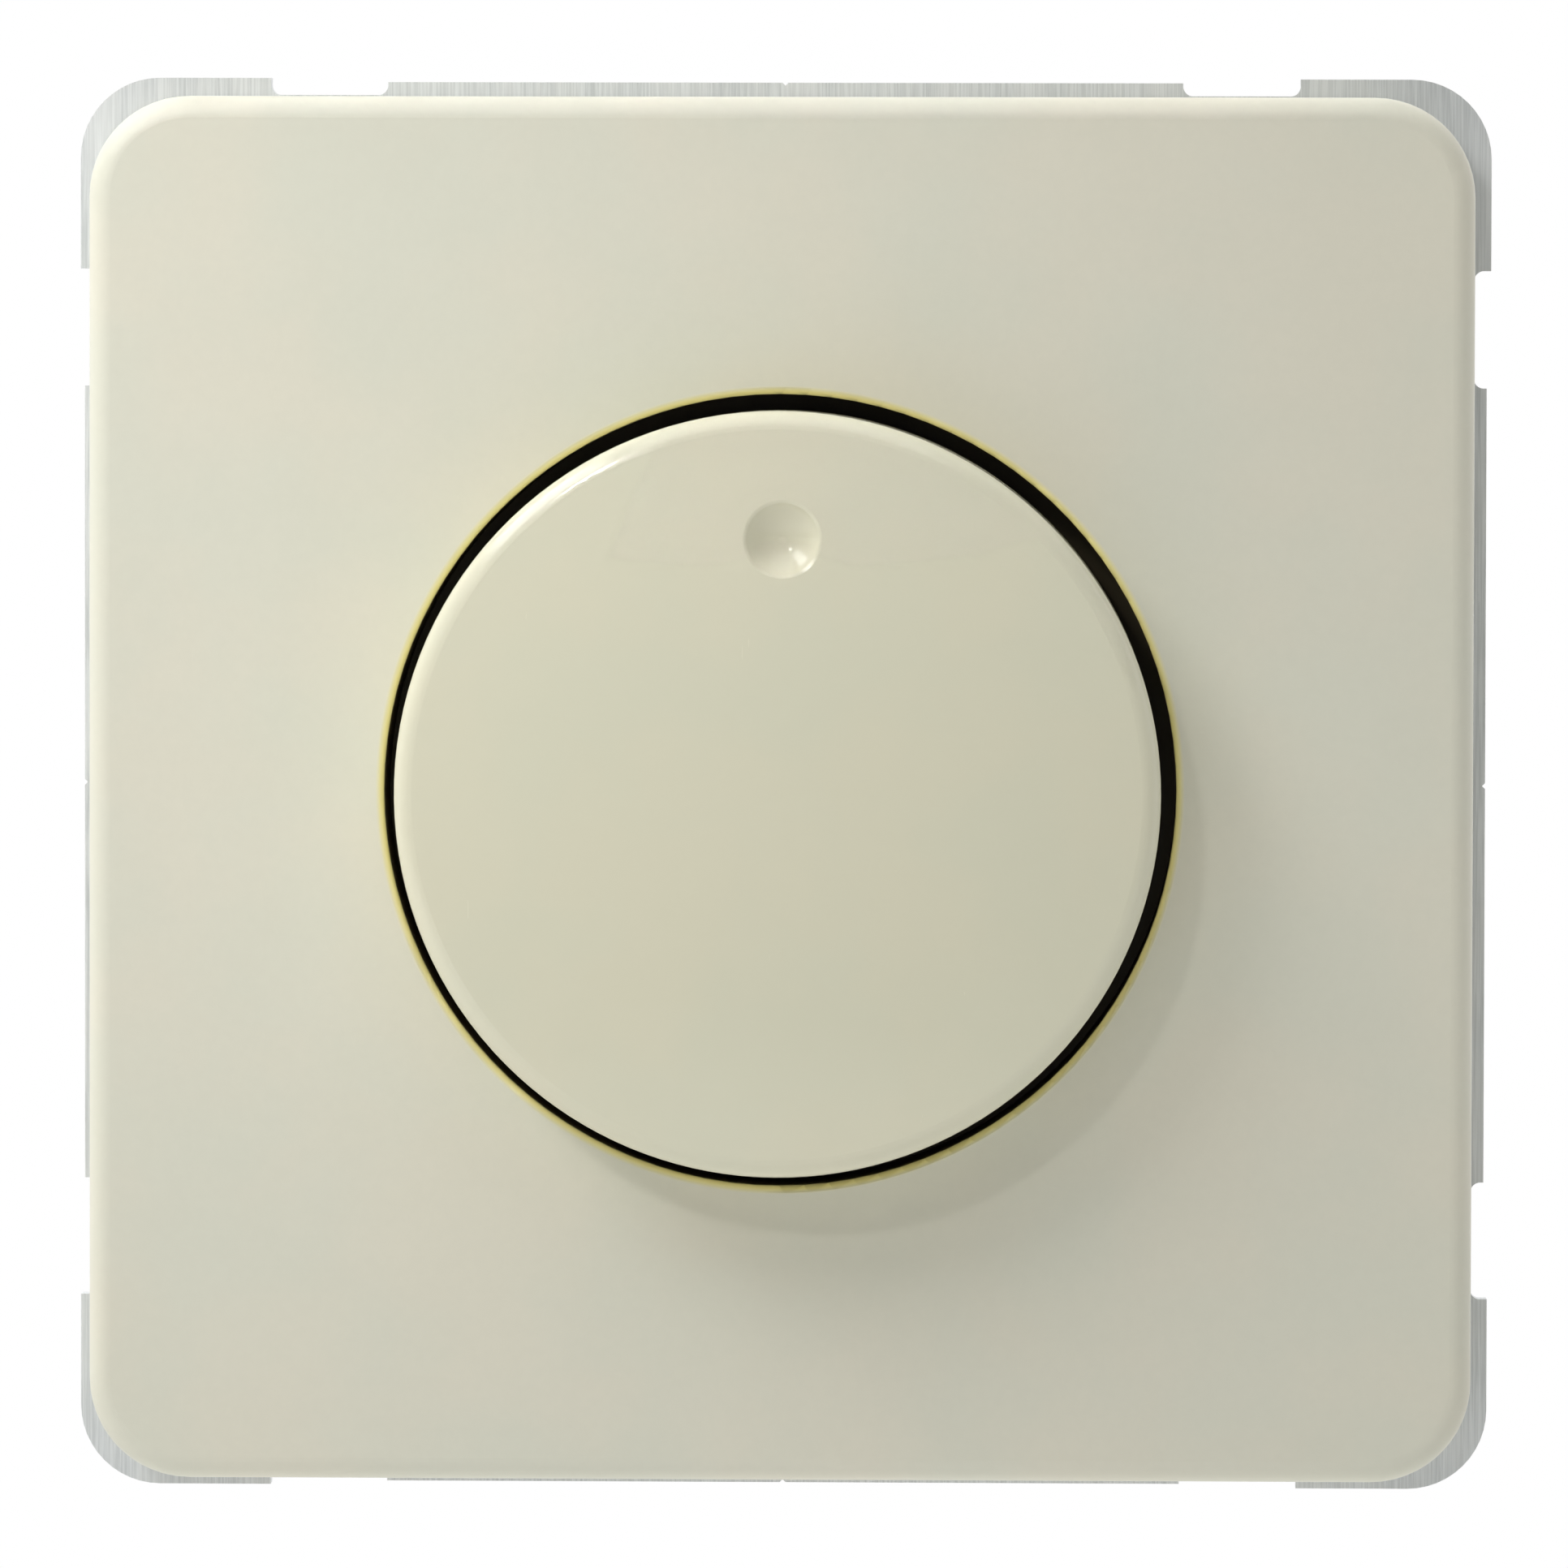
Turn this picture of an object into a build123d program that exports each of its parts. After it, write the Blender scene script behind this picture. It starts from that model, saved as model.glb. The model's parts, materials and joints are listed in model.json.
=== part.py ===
from build123d import *
import os
from math import cos, radians, sin

os.makedirs("parts", exist_ok=True)

# Flush-mounted rotary push dimmer with its support frame, centre plate and knob.
# Everything is drawn in a bench frame: x right, y up, z out of the wall, with the origin on the
# knob axis in the wall plane, which is the back face of the support frame. On export the bench
# frame is tilted so that +Z is up and the front faces -Y. All sizes are millimetres.

# Support frame
FRAME_SIDE = 71.0
FRAME_THICK = 1.2
FRAME_CORNER = 4.0
TAB_LENGTH = 9.6
NOTCH_WIDTH = 5.9
NOTCH_DEPTH = 0.85
NOTCH_CORNER = 0.5
STRIP_RECESS = 0.2
SCORE_WIDTH = 0.4
SCORE_DEPTH = 0.15
OPENING_WIDTH = 34.0
OPENING_HEIGHT = 40.0
OPENING_CORNER = 6.0
DEVICE_HOLE_R = 2.0
DEVICE_HOLE_OFFSET = 30.0
DEVICE_SLOT_WIDTH = 3.6
DEVICE_SLOT_HALF_ANGLE = 9.0
EAR_IN, EAR_OUT = 20.3, 23.1
EAR_Y = 4.5
EAR_BACK = -6.3

# Centre plate
PLATE_SIDE = 68.9
PLATE_CORNER = 5.0
PLATE_BACK = 1.5
PLATE_FRONT = 9.7
PLATE_SKIN = 1.8
PLATE_WALL = 1.6
PLATE_ROUND = 1.1
WELL_R = 19.7
WELL_WALL = 1.5
WELL_RIM_ROUND = 0.35
WELL_FLOOR_FRONT = 3.9
RIB_COUNT = 8
RIB_THICK = 1.0
RIB_BACK = 4.4

# Knob
KNOB_R = 18.9
KNOB_BACK = 6.2
KNOB_CROWN_FRONT = 16.8
KNOB_CROWN_R = 200.0
KNOB_EDGE_ROUND = 1.0
KNOB_WALL = 1.5
KNOB_CEILING = 14.3
KNOB_BOSS_R = 4.0
KNOB_BOSS_BACK = 8.3
KNOB_BORE_END = 13.7
KNOB_RIB_COUNT = 6
KNOB_RIB_BACK = 11.2
KNOB_RIB_THICK = 1.0
KNOB_SPLIT = 0.8
DIMPLE_OFFSET = 12.7
DIMPLE_R = 1.85
DIMPLE_DEPTH = 0.9
DIMPLE_RIM_ROUND = 0.22
INDICATOR_TURN = 1.2
CLAMP_RING_R = 4.6
CLAMP_RING_BACK, CLAMP_RING_FRONT = 9.0, 10.6
CLAMP_RING_GAP = 1.2

# Shaft and its fits
SHAFT_R = 3.0
SHAFT_BACK = -9.7
SHAFT_FRONT = 13.5
SHAFT_FLAT = 1.5
KNOB_FLAT_BACK = 8.0
ROTOR_FLAT_BACK, ROTOR_FLAT_FRONT = -7.6, -3.2
RUNNING = 0.05
CIRCLIP_GROOVE_R = 2.4
CIRCLIP_BACK, CIRCLIP_FRONT = -8.7, -8.1
CIRCLIP_R = 4.3

# Potentiometer
POT_R = 8.5
POT_CAVITY_R = 7.2
POT_FRONT = -3.2
POT_SKIN_BACK = -4.8
WAFER_FRONT = -7.2
BOARD_FRONT = -8.0
BUSHING_R = 5.0
BUSHING_FRONT = 6.5
FLANGE_R = 6.0
FLANGE_BACK = -4.2
ROTOR_R = 6.8
ROTOR_BACK, ROTOR_FRONT = -6.6, -5.6
STOP_IN, STOP_HALF_ANGLE = 5.0, 18.0
STOP_FRONT = -4.95
TRACK_IN, TRACK_OUT = 4.7, 6.1
TRACK_THICK = 0.1
TRACK_HALF_GAP = 30.0
WAFER_TONGUE_HALF, WAFER_TONGUE_END = 5.0, -11.2
POT_PIN_Y = -10.0
POT_PIN_R = 0.4
POT_PIN_PITCH = 2.5

# Nut and washer that hold the centre plate
WASHER_R = 8.0
WASHER_THICK = 0.6
NUT_FLATS = 14.0
NUT_FRONT = 6.3

# Housing
BASE_WIDTH = 39.6
BASE_HEIGHT = 46.0
BASE_CORNER = 5.0
BASE_WALL = 1.5
BASE_BACK = -22.5
BASE_REAR_ROUND = 1.2
COVER_FRONT = 2.2
COVER_LIP_MARGIN = 1.5
COVER_SKIN_BACK = 0.2
COVER_WALL_BACK = -1.5
SPREADER_FRONT = -1.7
BOARD_THICK = 1.6
POST_R = 3.0
POST_NECK_R = 2.5
POSTS = [(0.0, 16.8), (13.9, -9.2), (-13.9, -9.2)]
HOUSING_SCREW_R = 1.2
HOUSING_HEAD_R = 2.2
HOUSING_HEAD_BACK, HOUSING_HEAD_FRONT = 0.9, 2.1
HOUSING_SCREW_END = -9.0
LOOSE = 0.05
LABEL_WIDTH, LABEL_HEIGHT, LABEL_CORNER = 28.0, 16.0, 1.5
LABEL_DEPTH = 0.3
LABEL_Y = 8.0
GAUGE_LENGTH, GAUGE_WIDTH = 11.0, 2.0
GAUGE_Y = -7.0
EJECTOR_R, EJECTOR_X, EJECTOR_Y = 1.6, 15.0, 19.0
KEY_SLOT_WIDTH, KEY_SLOT_HEIGHT = 1.2, 8.0

# Board components
BOARD_HOLE_R = 5.0
LEAD_R = 0.3
LEAD_FRONT = -7.9
PIN_TIP = 0.8
TRIMMER_X, TRIMMER_Y = -9.0, -15.0
TRIMMER_SIDE = 6.0
TRIMMER_FRONT = -4.2
TRIMMER_ROTOR_R = 2.2
TRIMMER_ROTOR_BACK, TRIMMER_ROTOR_FRONT = -4.85, -3.7
CHOKE_X, CHOKE_Y = -10.4, 12.2
CHOKE_IN, CHOKE_OUT = 2.6, 6.2
CHOKE_BACK, CHOKE_FRONT = -17.0, -11.0
CHOKE_TURNS = 14
WIRE_R = 0.4
TRIAC_X = 11.5
TRIAC_LEAD_PITCH = 2.54
TRIAC_HOLE_Y = 18.4
TRIAC_TAB_END = 20.9
SHEET_THICK = 0.2
FILM_CAP_X, FILM_CAP_Y = 10.3, 17.5
FILM_CAP_WIDE, FILM_CAP_DEEP, FILM_CAP_TALL = 13.0, 6.2, 10.7
FILM_CAP_PITCH = 10.0
STANDOFF = 0.3
SMOOTHING_X, SMOOTHING_Y = 8.4, 10.2
SMOOTHING_R = 3.15
SMOOTHING_BACK = -20.8
SMOOTHING_PITCH = 2.5
RESISTOR_XS = [-15.6, -12.4, -9.2]
RESISTOR_Y = -0.5
RESISTOR_Z = -11.2
DIAC_X, DIAC_Y = 9.0, -4.5
FUSE_X, FUSE_Y, FUSE_Z = 15.0, 4.0, -13.5
FUSE_LENGTH = 20.0
FUSE_R = 2.6
FUSE_CAP = 4.5

# Push switch behind the board, on the knob axis
SWITCH_HALF = 6.0
SWITCH_FRONT = -11.6
SWITCH_BACK = -19.6
SWITCH_FLOOR = -18.4
SWITCH_ROOF = -12.2
SWITCH_WALL = 1.2
PLUNGER_R = 1.6
PLUNGER_FRONT = -9.8
PLUNGER_FLANGE_R = 2.9
PLUNGER_BACK = -14.5
SPIGOT_R = 0.9
BRIDGE_THICK = 0.4
BRIDGE_HALF_X, BRIDGE_HALF_Y = 4.4, 1.2
CONTACT_BACK, CONTACT_FRONT = -17.0, -16.6
CONTACT_IN = 2.6
CONTACT_LEG = 0.4
SPRING_R = 1.5
SPRING_WIRE_R = 0.15
SPRING_TURNS = 5

# Terminals at the bottom of the housing
BLOCK_HALF = 12.0
BLOCK_BOTTOM, BLOCK_TOP = -23.0, -12.0
BLOCK_FRONT = -11.5
POLE_PITCH = 7.6
CHAMBER_HALF = 3.1
CHAMBER_BOTTOM, CHAMBER_TOP = -20.9, -12.3
CHAMBER_BACK, CHAMBER_FRONT = -18.2, -12.8
CLAMP_BACK, CLAMP_FRONT = -18.0, -13.0
CLAMP_HALF = 2.9
CLAMP_SIDE = 0.6
CLAMP_BOTTOM, CLAMP_TOP = -18.8, -12.6
CLAMP_PLATE = 1.0
BAR_BOTTOM, BAR_TOP = -17.5, -16.5
BAR_HALF = 1.6
ENTRY_HALF = 2.25
ENTRY_BOTTOM, ENTRY_TOP = -16.95, -12.6
TERMINAL_SCREW_R = 1.45
TERMINAL_HEAD_R = 2.3
TERMINAL_HEAD_TOP = -21.9
TERMINAL_SCREW_END = -17.6
TERMINAL_Z = -15.5

# Spreading claws on the left and right
CLAW_X, CLAW_Z = 21.7, -4.5
CLAW_SCREW_X = 25.2
CLAW_PIN_R = 0.7
KNUCKLE_R = 1.3
CLAW_HALF = 4.3
CLAW_SHEET = 1.2
LUG_LENGTH = 7.2
LUG_SLOT_IN, LUG_SLOT_OUT = 1.75, 6.2
LUG_SLOT_HALF = 1.65
FORK_HALF = 2.9
ARM_LENGTH = 13.0
TOOTH_OUT = 2.5
CLAW_SCREW_R = 1.5
CLAW_HEAD_R = 2.7
CLAW_HEAD_FRONT = 3.2
CLAW_SCREW_END = -13.0
NUT_BARREL_R = 2.3
NUT_BARREL_HALF = 2.75
NUT_BARREL_GAP = 0.1

BASE_INNER_WIDTH = BASE_WIDTH - 2 * BASE_WALL
BASE_INNER_HEIGHT = BASE_HEIGHT - 2 * BASE_WALL
BASE_FLOOR = BASE_BACK + BASE_WALL
# The board and the heat spreader fit inside the base
INSERT_WIDTH = BASE_INNER_WIDTH - 0.4
INSERT_HEIGHT = BASE_INNER_HEIGHT - 0.4
INSERT_CORNER = BASE_CORNER - BASE_WALL
BOARD_BACK = BOARD_FRONT - BOARD_THICK

# How far cutting tools overshoot a face, and how far joined shapes run into each other
MOUTH = 1.0
MERGE = 0.4
CROSS_WIDTH = 0.6


def slab(x0, x1, y0, y1, z0, z1):
    """Box between two corners."""
    middle = Pos((x0 + x1) / 2, (y0 + y1) / 2, (z0 + z1) / 2)
    return middle * Box(abs(x1 - x0), abs(y1 - y0), abs(z1 - z0))


def rod(x, y, z0, z1, radius):
    """Round bar along z."""
    return Pos(x, y, (z0 + z1) / 2) * Cylinder(radius, abs(z1 - z0))


def rod_y(x, z, y0, y1, radius):
    """Round bar along y."""
    return Pos(x, (y0 + y1) / 2, z) * Rot(90, 0, 0) * Cylinder(radius, abs(y1 - y0))


def tile(width, height, corner, z0, z1):
    """Rounded rectangular plate on the knob axis."""
    return Pos(0, 0, z0) * extrude(RectangleRounded(width, height, corner), z1 - z0)


def d_bar(radius, flat, z0, z1):
    """Round bar along z with a flat on its +y side."""
    return rod(0, 0, z0, z1, radius) - slab(-radius, radius, flat, radius + MOUTH, z0 - MOUTH, z1 + MOUTH)


def wedge(inner, outer, half_angle, middle_angle, z0, z1):
    """Sector of a flat ring."""
    reach = 3 * outer
    first = radians(middle_angle - half_angle)
    last = radians(middle_angle + half_angle)
    start = (reach * cos(first), reach * sin(first))
    end = (reach * cos(last), reach * sin(last))
    triangle = Pos(0, 0, z0) * extrude(make_face(Polyline((0, 0), start, end, close=True)), z1 - z0)
    return (rod(0, 0, z0, z1, outer) - rod(0, 0, z0 - MOUTH, z1 + MOUTH, inner)) & triangle


def axial_component(x, y, z, radius, length, reach):
    """Round component along y whose two leads bend down into the board."""
    body = rod_y(x, z, y - length / 2, y + length / 2, radius)
    for side in (-1, 1):
        end = y + side * reach
        body += rod_y(x, z, y, end, LEAD_R)
        body += Pos(x, end, z) * Sphere(LEAD_R)
        body += rod(x, end, z, LEAD_FRONT, LEAD_R)
    return body


def cross_recess(x, y, front, reach, depth):
    """Screwdriver cross sunk into a head that faces +z."""
    half = CROSS_WIDTH / 2
    bar = slab(x - reach, x + reach, y - half, y + half, front - depth, front + MOUTH)
    return bar + slab(x - half, x + half, y - reach, y + reach, front - depth, front + MOUTH)


def group(shapes):
    """Several separate solids that share one node."""
    return Compound([solid for shape in shapes for solid in shape.solids()])


def turned(shape, angle):
    """Shape turned about the knob axis."""
    return Rot(0, 0, angle) * shape


def support_frame():
    body = tile(FRAME_SIDE, FRAME_SIDE, FRAME_CORNER, 0, FRAME_THICK)
    body -= tile(OPENING_WIDTH, OPENING_HEIGHT, OPENING_CORNER, -MOUTH, FRAME_THICK + MOUTH)
    half = FRAME_SIDE / 2
    notch_middle = half - TAB_LENGTH - NOTCH_WIDTH / 2
    notch = tile(NOTCH_WIDTH, 2 * NOTCH_DEPTH, NOTCH_CORNER, -MOUTH, FRAME_THICK + MOUTH)
    score_edge = half - STRIP_RECESS
    strip = slab(-notch_middle, notch_middle, score_edge, half + MOUTH, -MOUTH, FRAME_THICK + MOUTH)
    vee = Polyline(
        (-SCORE_WIDTH / 2, score_edge + LOOSE),
        (0, score_edge - SCORE_DEPTH),
        (SCORE_WIDTH / 2, score_edge + LOOSE),
        close=True,
    )
    score = Pos(0, 0, -MOUTH) * extrude(make_face(vee), FRAME_THICK + 2 * MOUTH)
    for quarter in range(4):
        angle = 90 * quarter
        body -= turned(Pos(notch_middle, half, 0) * notch, angle)
        body -= turned(Pos(-notch_middle, half, 0) * notch, angle)
        body -= turned(strip, angle)
        body -= turned(score, angle)
    slot_in = DEVICE_HOLE_OFFSET - DEVICE_SLOT_WIDTH / 2
    slot_out = DEVICE_HOLE_OFFSET + DEVICE_SLOT_WIDTH / 2
    for side in (-1, 1):
        body -= rod(0, side * DEVICE_HOLE_OFFSET, -MOUTH, FRAME_THICK + MOUTH, DEVICE_HOLE_R)
        middle = 0 if side > 0 else 180
        body -= wedge(slot_in, slot_out, DEVICE_SLOT_HALF_ANGLE, middle, -MOUTH, FRAME_THICK + MOUTH)
        for end in (-1, 1):
            angle = radians(middle + end * DEVICE_SLOT_HALF_ANGLE)
            body -= rod(
                DEVICE_HOLE_OFFSET * cos(angle),
                DEVICE_HOLE_OFFSET * sin(angle),
                -MOUTH,
                FRAME_THICK + MOUTH,
                DEVICE_SLOT_WIDTH / 2,
            )
        body -= rod(side * CLAW_SCREW_X, 0, -MOUTH, FRAME_THICK + MOUTH, CLAW_SCREW_R + 0.2)
        for ear in (-1, 1):
            near, far = sorted((side * EAR_IN, side * EAR_OUT))
            low, high = sorted((ear * EAR_Y, ear * (EAR_Y + FRAME_THICK)))
            plate = slab(near, far, low, high, EAR_BACK, 0)
            body += plate - rod_y(side * CLAW_X, CLAW_Z, low - MOUTH, high + MOUTH, CLAW_PIN_R)
    return body


def centre_plate():
    shell = tile(PLATE_SIDE, PLATE_SIDE, PLATE_CORNER, PLATE_BACK, PLATE_FRONT)
    shell = fillet(shell.faces().sort_by(Axis.Z)[-1].edges(), PLATE_ROUND)
    inner = PLATE_SIDE - 2 * PLATE_WALL
    shell -= tile(inner, inner, PLATE_CORNER - PLATE_WALL, PLATE_BACK - MOUTH, PLATE_FRONT - PLATE_SKIN)
    well_outer = WELL_R + WELL_WALL
    shell += rod(0, 0, COVER_FRONT, PLATE_FRONT - PLATE_SKIN, well_outer)
    half_rib = RIB_THICK / 2
    rib_front = PLATE_FRONT - PLATE_SKIN + MERGE
    ribs = None
    for index in range(RIB_COUNT):
        angle = (index + 0.5) * 360 / RIB_COUNT
        rib = turned(slab(well_outer - MERGE, PLATE_SIDE, -half_rib, half_rib, RIB_BACK, rib_front), angle)
        ribs = rib if ribs is None else ribs + rib
    within = inner + 2 * MERGE
    shell += ribs & tile(within, within, PLATE_CORNER - PLATE_WALL, RIB_BACK, rib_front)
    shell -= rod(0, 0, WELL_FLOOR_FRONT, PLATE_FRONT + MOUTH, WELL_R)
    shell -= rod(0, 0, 0, WELL_FLOOR_FRONT + MOUTH, BUSHING_R + 0.2)
    rims = shell.edges().filter_by(GeomType.CIRCLE)
    rim = [e for e in rims if abs(e.radius - WELL_R) < 0.01 and abs(e.center().Z - PLATE_FRONT) < 0.01]
    return fillet(rim, WELL_RIM_ROUND)


def plate_washer():
    ring = rod(0, 0, WELL_FLOOR_FRONT, WELL_FLOOR_FRONT + WASHER_THICK, WASHER_R)
    return ring - rod(0, 0, 0, NUT_FRONT, BUSHING_R + 0.1)


def plate_nut():
    back = WELL_FLOOR_FRONT + WASHER_THICK
    hexagon = RegularPolygon(NUT_FLATS / 2, 6, major_radius=False)
    body = Pos(0, 0, back) * extrude(hexagon, NUT_FRONT - back)
    bevel = Cone(NUT_FLATS / 2 + 3.0, NUT_FLATS / 2, NUT_FRONT - back)
    body &= Pos(0, 0, (back + NUT_FRONT) / 2) * bevel
    return body - rod(0, 0, 0, NUT_FRONT + MOUTH, BUSHING_R)


def crown_height(offset):
    """Height of the knob's slightly domed face at a distance from its axis."""
    return KNOB_CROWN_FRONT - offset * offset / (2 * KNOB_CROWN_R)


def knob():
    blank = rod(0, 0, KNOB_BACK, KNOB_CROWN_FRONT + MOUTH, KNOB_R)
    blank &= Pos(0, 0, KNOB_CROWN_FRONT - KNOB_CROWN_R) * Rot(90, 0, 0) * Sphere(KNOB_CROWN_R)
    rim = [e for e in blank.edges().filter_by(GeomType.CIRCLE) if e.center().Z > KNOB_CEILING]
    blank = fillet(rim, KNOB_EDGE_ROUND)
    blank -= rod(0, 0, KNOB_BACK - MOUTH, KNOB_CEILING, KNOB_R - KNOB_WALL)
    dimple_sphere_r = (DIMPLE_R * DIMPLE_R + DIMPLE_DEPTH * DIMPLE_DEPTH) / (2 * DIMPLE_DEPTH)
    dimple_middle = crown_height(DIMPLE_OFFSET) - DIMPLE_DEPTH + dimple_sphere_r
    blank -= turned(Pos(0, DIMPLE_OFFSET, dimple_middle) * Sphere(dimple_sphere_r), -INDICATOR_TURN)
    rim = [e for e in blank.edges() if e.center().Y > DIMPLE_OFFSET / 2 and e.length < 8 * DIMPLE_R]
    blank = fillet(rim, DIMPLE_RIM_ROUND)
    root = KNOB_CEILING + MERGE
    half_rib = KNOB_RIB_THICK / 2
    boss = rod(0, 0, KNOB_BOSS_BACK, root, KNOB_BOSS_R)
    for index in range(KNOB_RIB_COUNT):
        rib = slab(0, KNOB_R - KNOB_WALL + MERGE, -half_rib, half_rib, KNOB_RIB_BACK, root)
        boss += turned(rib, index * 360 / KNOB_RIB_COUNT)
    blank += boss
    blank -= d_bar(SHAFT_R + LOOSE, SHAFT_FLAT + LOOSE, KNOB_BOSS_BACK - MOUTH, KNOB_BORE_END)
    reach = KNOB_BOSS_R + MERGE
    half_split = KNOB_SPLIT / 2
    return blank - slab(-reach, reach, -half_split, half_split, KNOB_BOSS_BACK - MOUTH, CLAMP_RING_FRONT)


def knob_clamp_ring():
    ring = rod(0, 0, CLAMP_RING_BACK, CLAMP_RING_FRONT, CLAMP_RING_R)
    ring -= rod(0, 0, CLAMP_RING_BACK - MOUTH, CLAMP_RING_FRONT + MOUTH, KNOB_BOSS_R)
    gap = CLAMP_RING_GAP / 2
    return ring - slab(-gap, gap, -2 * CLAMP_RING_R, 0, CLAMP_RING_BACK - MOUTH, CLAMP_RING_FRONT + MOUTH)


def shaft():
    body = rod(0, 0, SHAFT_BACK, SHAFT_FRONT, SHAFT_R)
    body -= slab(-SHAFT_R, SHAFT_R, SHAFT_FLAT, 2 * SHAFT_R, KNOB_FLAT_BACK, SHAFT_FRONT + MOUTH)
    body -= slab(-SHAFT_R, SHAFT_R, SHAFT_FLAT, 2 * SHAFT_R, ROTOR_FLAT_BACK, ROTOR_FLAT_FRONT)
    groove = rod(0, 0, CIRCLIP_BACK - LOOSE, CIRCLIP_FRONT + LOOSE, SHAFT_R + MOUTH)
    groove -= rod(0, 0, CIRCLIP_BACK - MOUTH, CIRCLIP_FRONT + MOUTH, CIRCLIP_GROOVE_R)
    return body - groove


def shaft_circlip():
    ring = rod(0, 0, CIRCLIP_BACK, CIRCLIP_FRONT, CIRCLIP_R)
    ring -= rod(0, 0, CIRCLIP_BACK - MOUTH, CIRCLIP_FRONT + MOUTH, CIRCLIP_GROOVE_R + LOOSE)
    return ring - slab(-1.5, 1.5, -2 * CIRCLIP_R, 0, CIRCLIP_BACK - MOUTH, CIRCLIP_FRONT + MOUTH)


def pot_body():
    body = rod(0, 0, WAFER_FRONT, POT_FRONT, POT_R)
    body -= rod(0, 0, WAFER_FRONT - MOUTH, POT_SKIN_BACK, POT_CAVITY_R)
    body -= rod(0, 0, FLANGE_BACK, POT_FRONT + MOUTH, FLANGE_R)
    body -= rod(0, 0, POT_SKIN_BACK - MOUTH, POT_FRONT, SHAFT_R + 0.5)
    stop = wedge(STOP_IN, POT_CAVITY_R + MERGE, STOP_HALF_ANGLE, -90, ROTOR_FRONT + 0.1, POT_SKIN_BACK + 0.1)
    return body + stop


def pot_bushing():
    body = rod(0, 0, FLANGE_BACK, POT_FRONT, FLANGE_R) + rod(0, 0, POT_FRONT, BUSHING_FRONT, BUSHING_R)
    return body - rod(0, 0, FLANGE_BACK - MOUTH, BUSHING_FRONT + MOUTH, SHAFT_R + RUNNING)


def pot_rotor():
    body = rod(0, 0, ROTOR_BACK, ROTOR_FRONT, ROTOR_R) + rod(0, 0, ROTOR_FRONT, STOP_FRONT, STOP_IN - 0.5)
    body += wedge(STOP_IN - 1, ROTOR_R, STOP_HALF_ANGLE, 90, ROTOR_BACK, STOP_FRONT)
    return body - d_bar(SHAFT_R + RUNNING, SHAFT_FLAT + RUNNING, ROTOR_BACK - MOUTH, STOP_FRONT + MOUTH)


def pot_wiper():
    spring = rod(0, 0, ROTOR_BACK - 0.15, ROTOR_BACK, TRACK_OUT)
    spring -= rod(0, 0, ROTOR_BACK - MOUTH, ROTOR_FRONT, SHAFT_R + 0.9)
    finger_back = WAFER_FRONT + TRACK_THICK + RUNNING
    return spring + slab(-0.5, 0.5, TRACK_IN + 0.2, TRACK_OUT - 0.2, finger_back, ROTOR_BACK - 0.1)


def pot_wafer():
    plate = rod(0, 0, BOARD_FRONT, WAFER_FRONT, POT_R)
    plate += slab(-WAFER_TONGUE_HALF, WAFER_TONGUE_HALF, WAFER_TONGUE_END, 0, BOARD_FRONT, WAFER_FRONT)
    plate -= rod(0, 0, BOARD_FRONT - MOUTH, WAFER_FRONT + MOUTH, SHAFT_R + 0.5)
    for index in (-1, 0, 1):
        plate -= rod(index * POT_PIN_PITCH, POT_PIN_Y, BOARD_FRONT - MOUTH, WAFER_FRONT + MOUTH, POT_PIN_R)
    return plate


def resistive_track():
    front = WAFER_FRONT + TRACK_THICK
    return wedge_free_ring(TRACK_IN, TRACK_OUT, TRACK_HALF_GAP, WAFER_FRONT, front)


def wedge_free_ring(inner, outer, half_gap, z0, z1):
    """Flat ring with a gap at its lowest point."""
    ring = rod(0, 0, z0, z1, outer) - rod(0, 0, z0 - MOUTH, z1 + MOUTH, inner)
    return ring - wedge(inner - MOUTH, outer + MOUTH, half_gap, -90, z0 - MOUTH, z1 + MOUTH)


def pot_pins():
    pins = []
    for index in (-1, 0, 1):
        x = index * POT_PIN_PITCH
        pin = rod(x, POT_PIN_Y, BOARD_BACK - PIN_TIP, WAFER_FRONT, POT_PIN_R)
        pins.append(pin + rod(x, POT_PIN_Y, WAFER_FRONT, WAFER_FRONT + 0.3, 2 * POT_PIN_R))
    return group(pins)


def heat_spreader():
    body = tile(INSERT_WIDTH, INSERT_HEIGHT, INSERT_CORNER, POT_FRONT, SPREADER_FRONT)
    body -= rod(0, 0, POT_FRONT - MOUTH, SPREADER_FRONT + MOUTH, BUSHING_R + 0.2)
    for x, y in POSTS:
        body -= rod(x, y, POT_FRONT - MOUTH, SPREADER_FRONT + MOUTH, HOUSING_SCREW_R + 0.15)
    body -= rod(TRIMMER_X, TRIMMER_Y, POT_FRONT - MOUTH, SPREADER_FRONT + MOUTH, TRIMMER_ROTOR_R + 0.3)
    return body - rod(TRIAC_X, TRIAC_HOLE_Y, POT_FRONT - MOUTH, SPREADER_FRONT + MOUTH, 1.5)


def insulating_sheet():
    sheet = slab(TRIAC_X - 5, TRIAC_X + 5.3, 5.7, TRIAC_TAB_END, POT_FRONT - SHEET_THICK, POT_FRONT)
    return sheet - rod(TRIAC_X, TRIAC_HOLE_Y, POT_FRONT - MOUTH, POT_FRONT + MOUTH, 1.6)


def triac_tab():
    front = POT_FRONT - SHEET_THICK
    tab = slab(TRIAC_X - 5, TRIAC_X + 5, 8.0, TRIAC_TAB_END, front - 1.3, front)
    return tab - rod(TRIAC_X, TRIAC_HOLE_Y, front - 2, front + MOUTH, 1.8)


def triac_body():
    front = POT_FRONT - SHEET_THICK
    block = slab(TRIAC_X - 5, TRIAC_X + 5, 5.7, 14.9, front - 4.4, front)
    return block - slab(TRIAC_X - 6, TRIAC_X + 6, 8.0, 15.5, front - 1.3, front + MOUTH)


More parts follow.
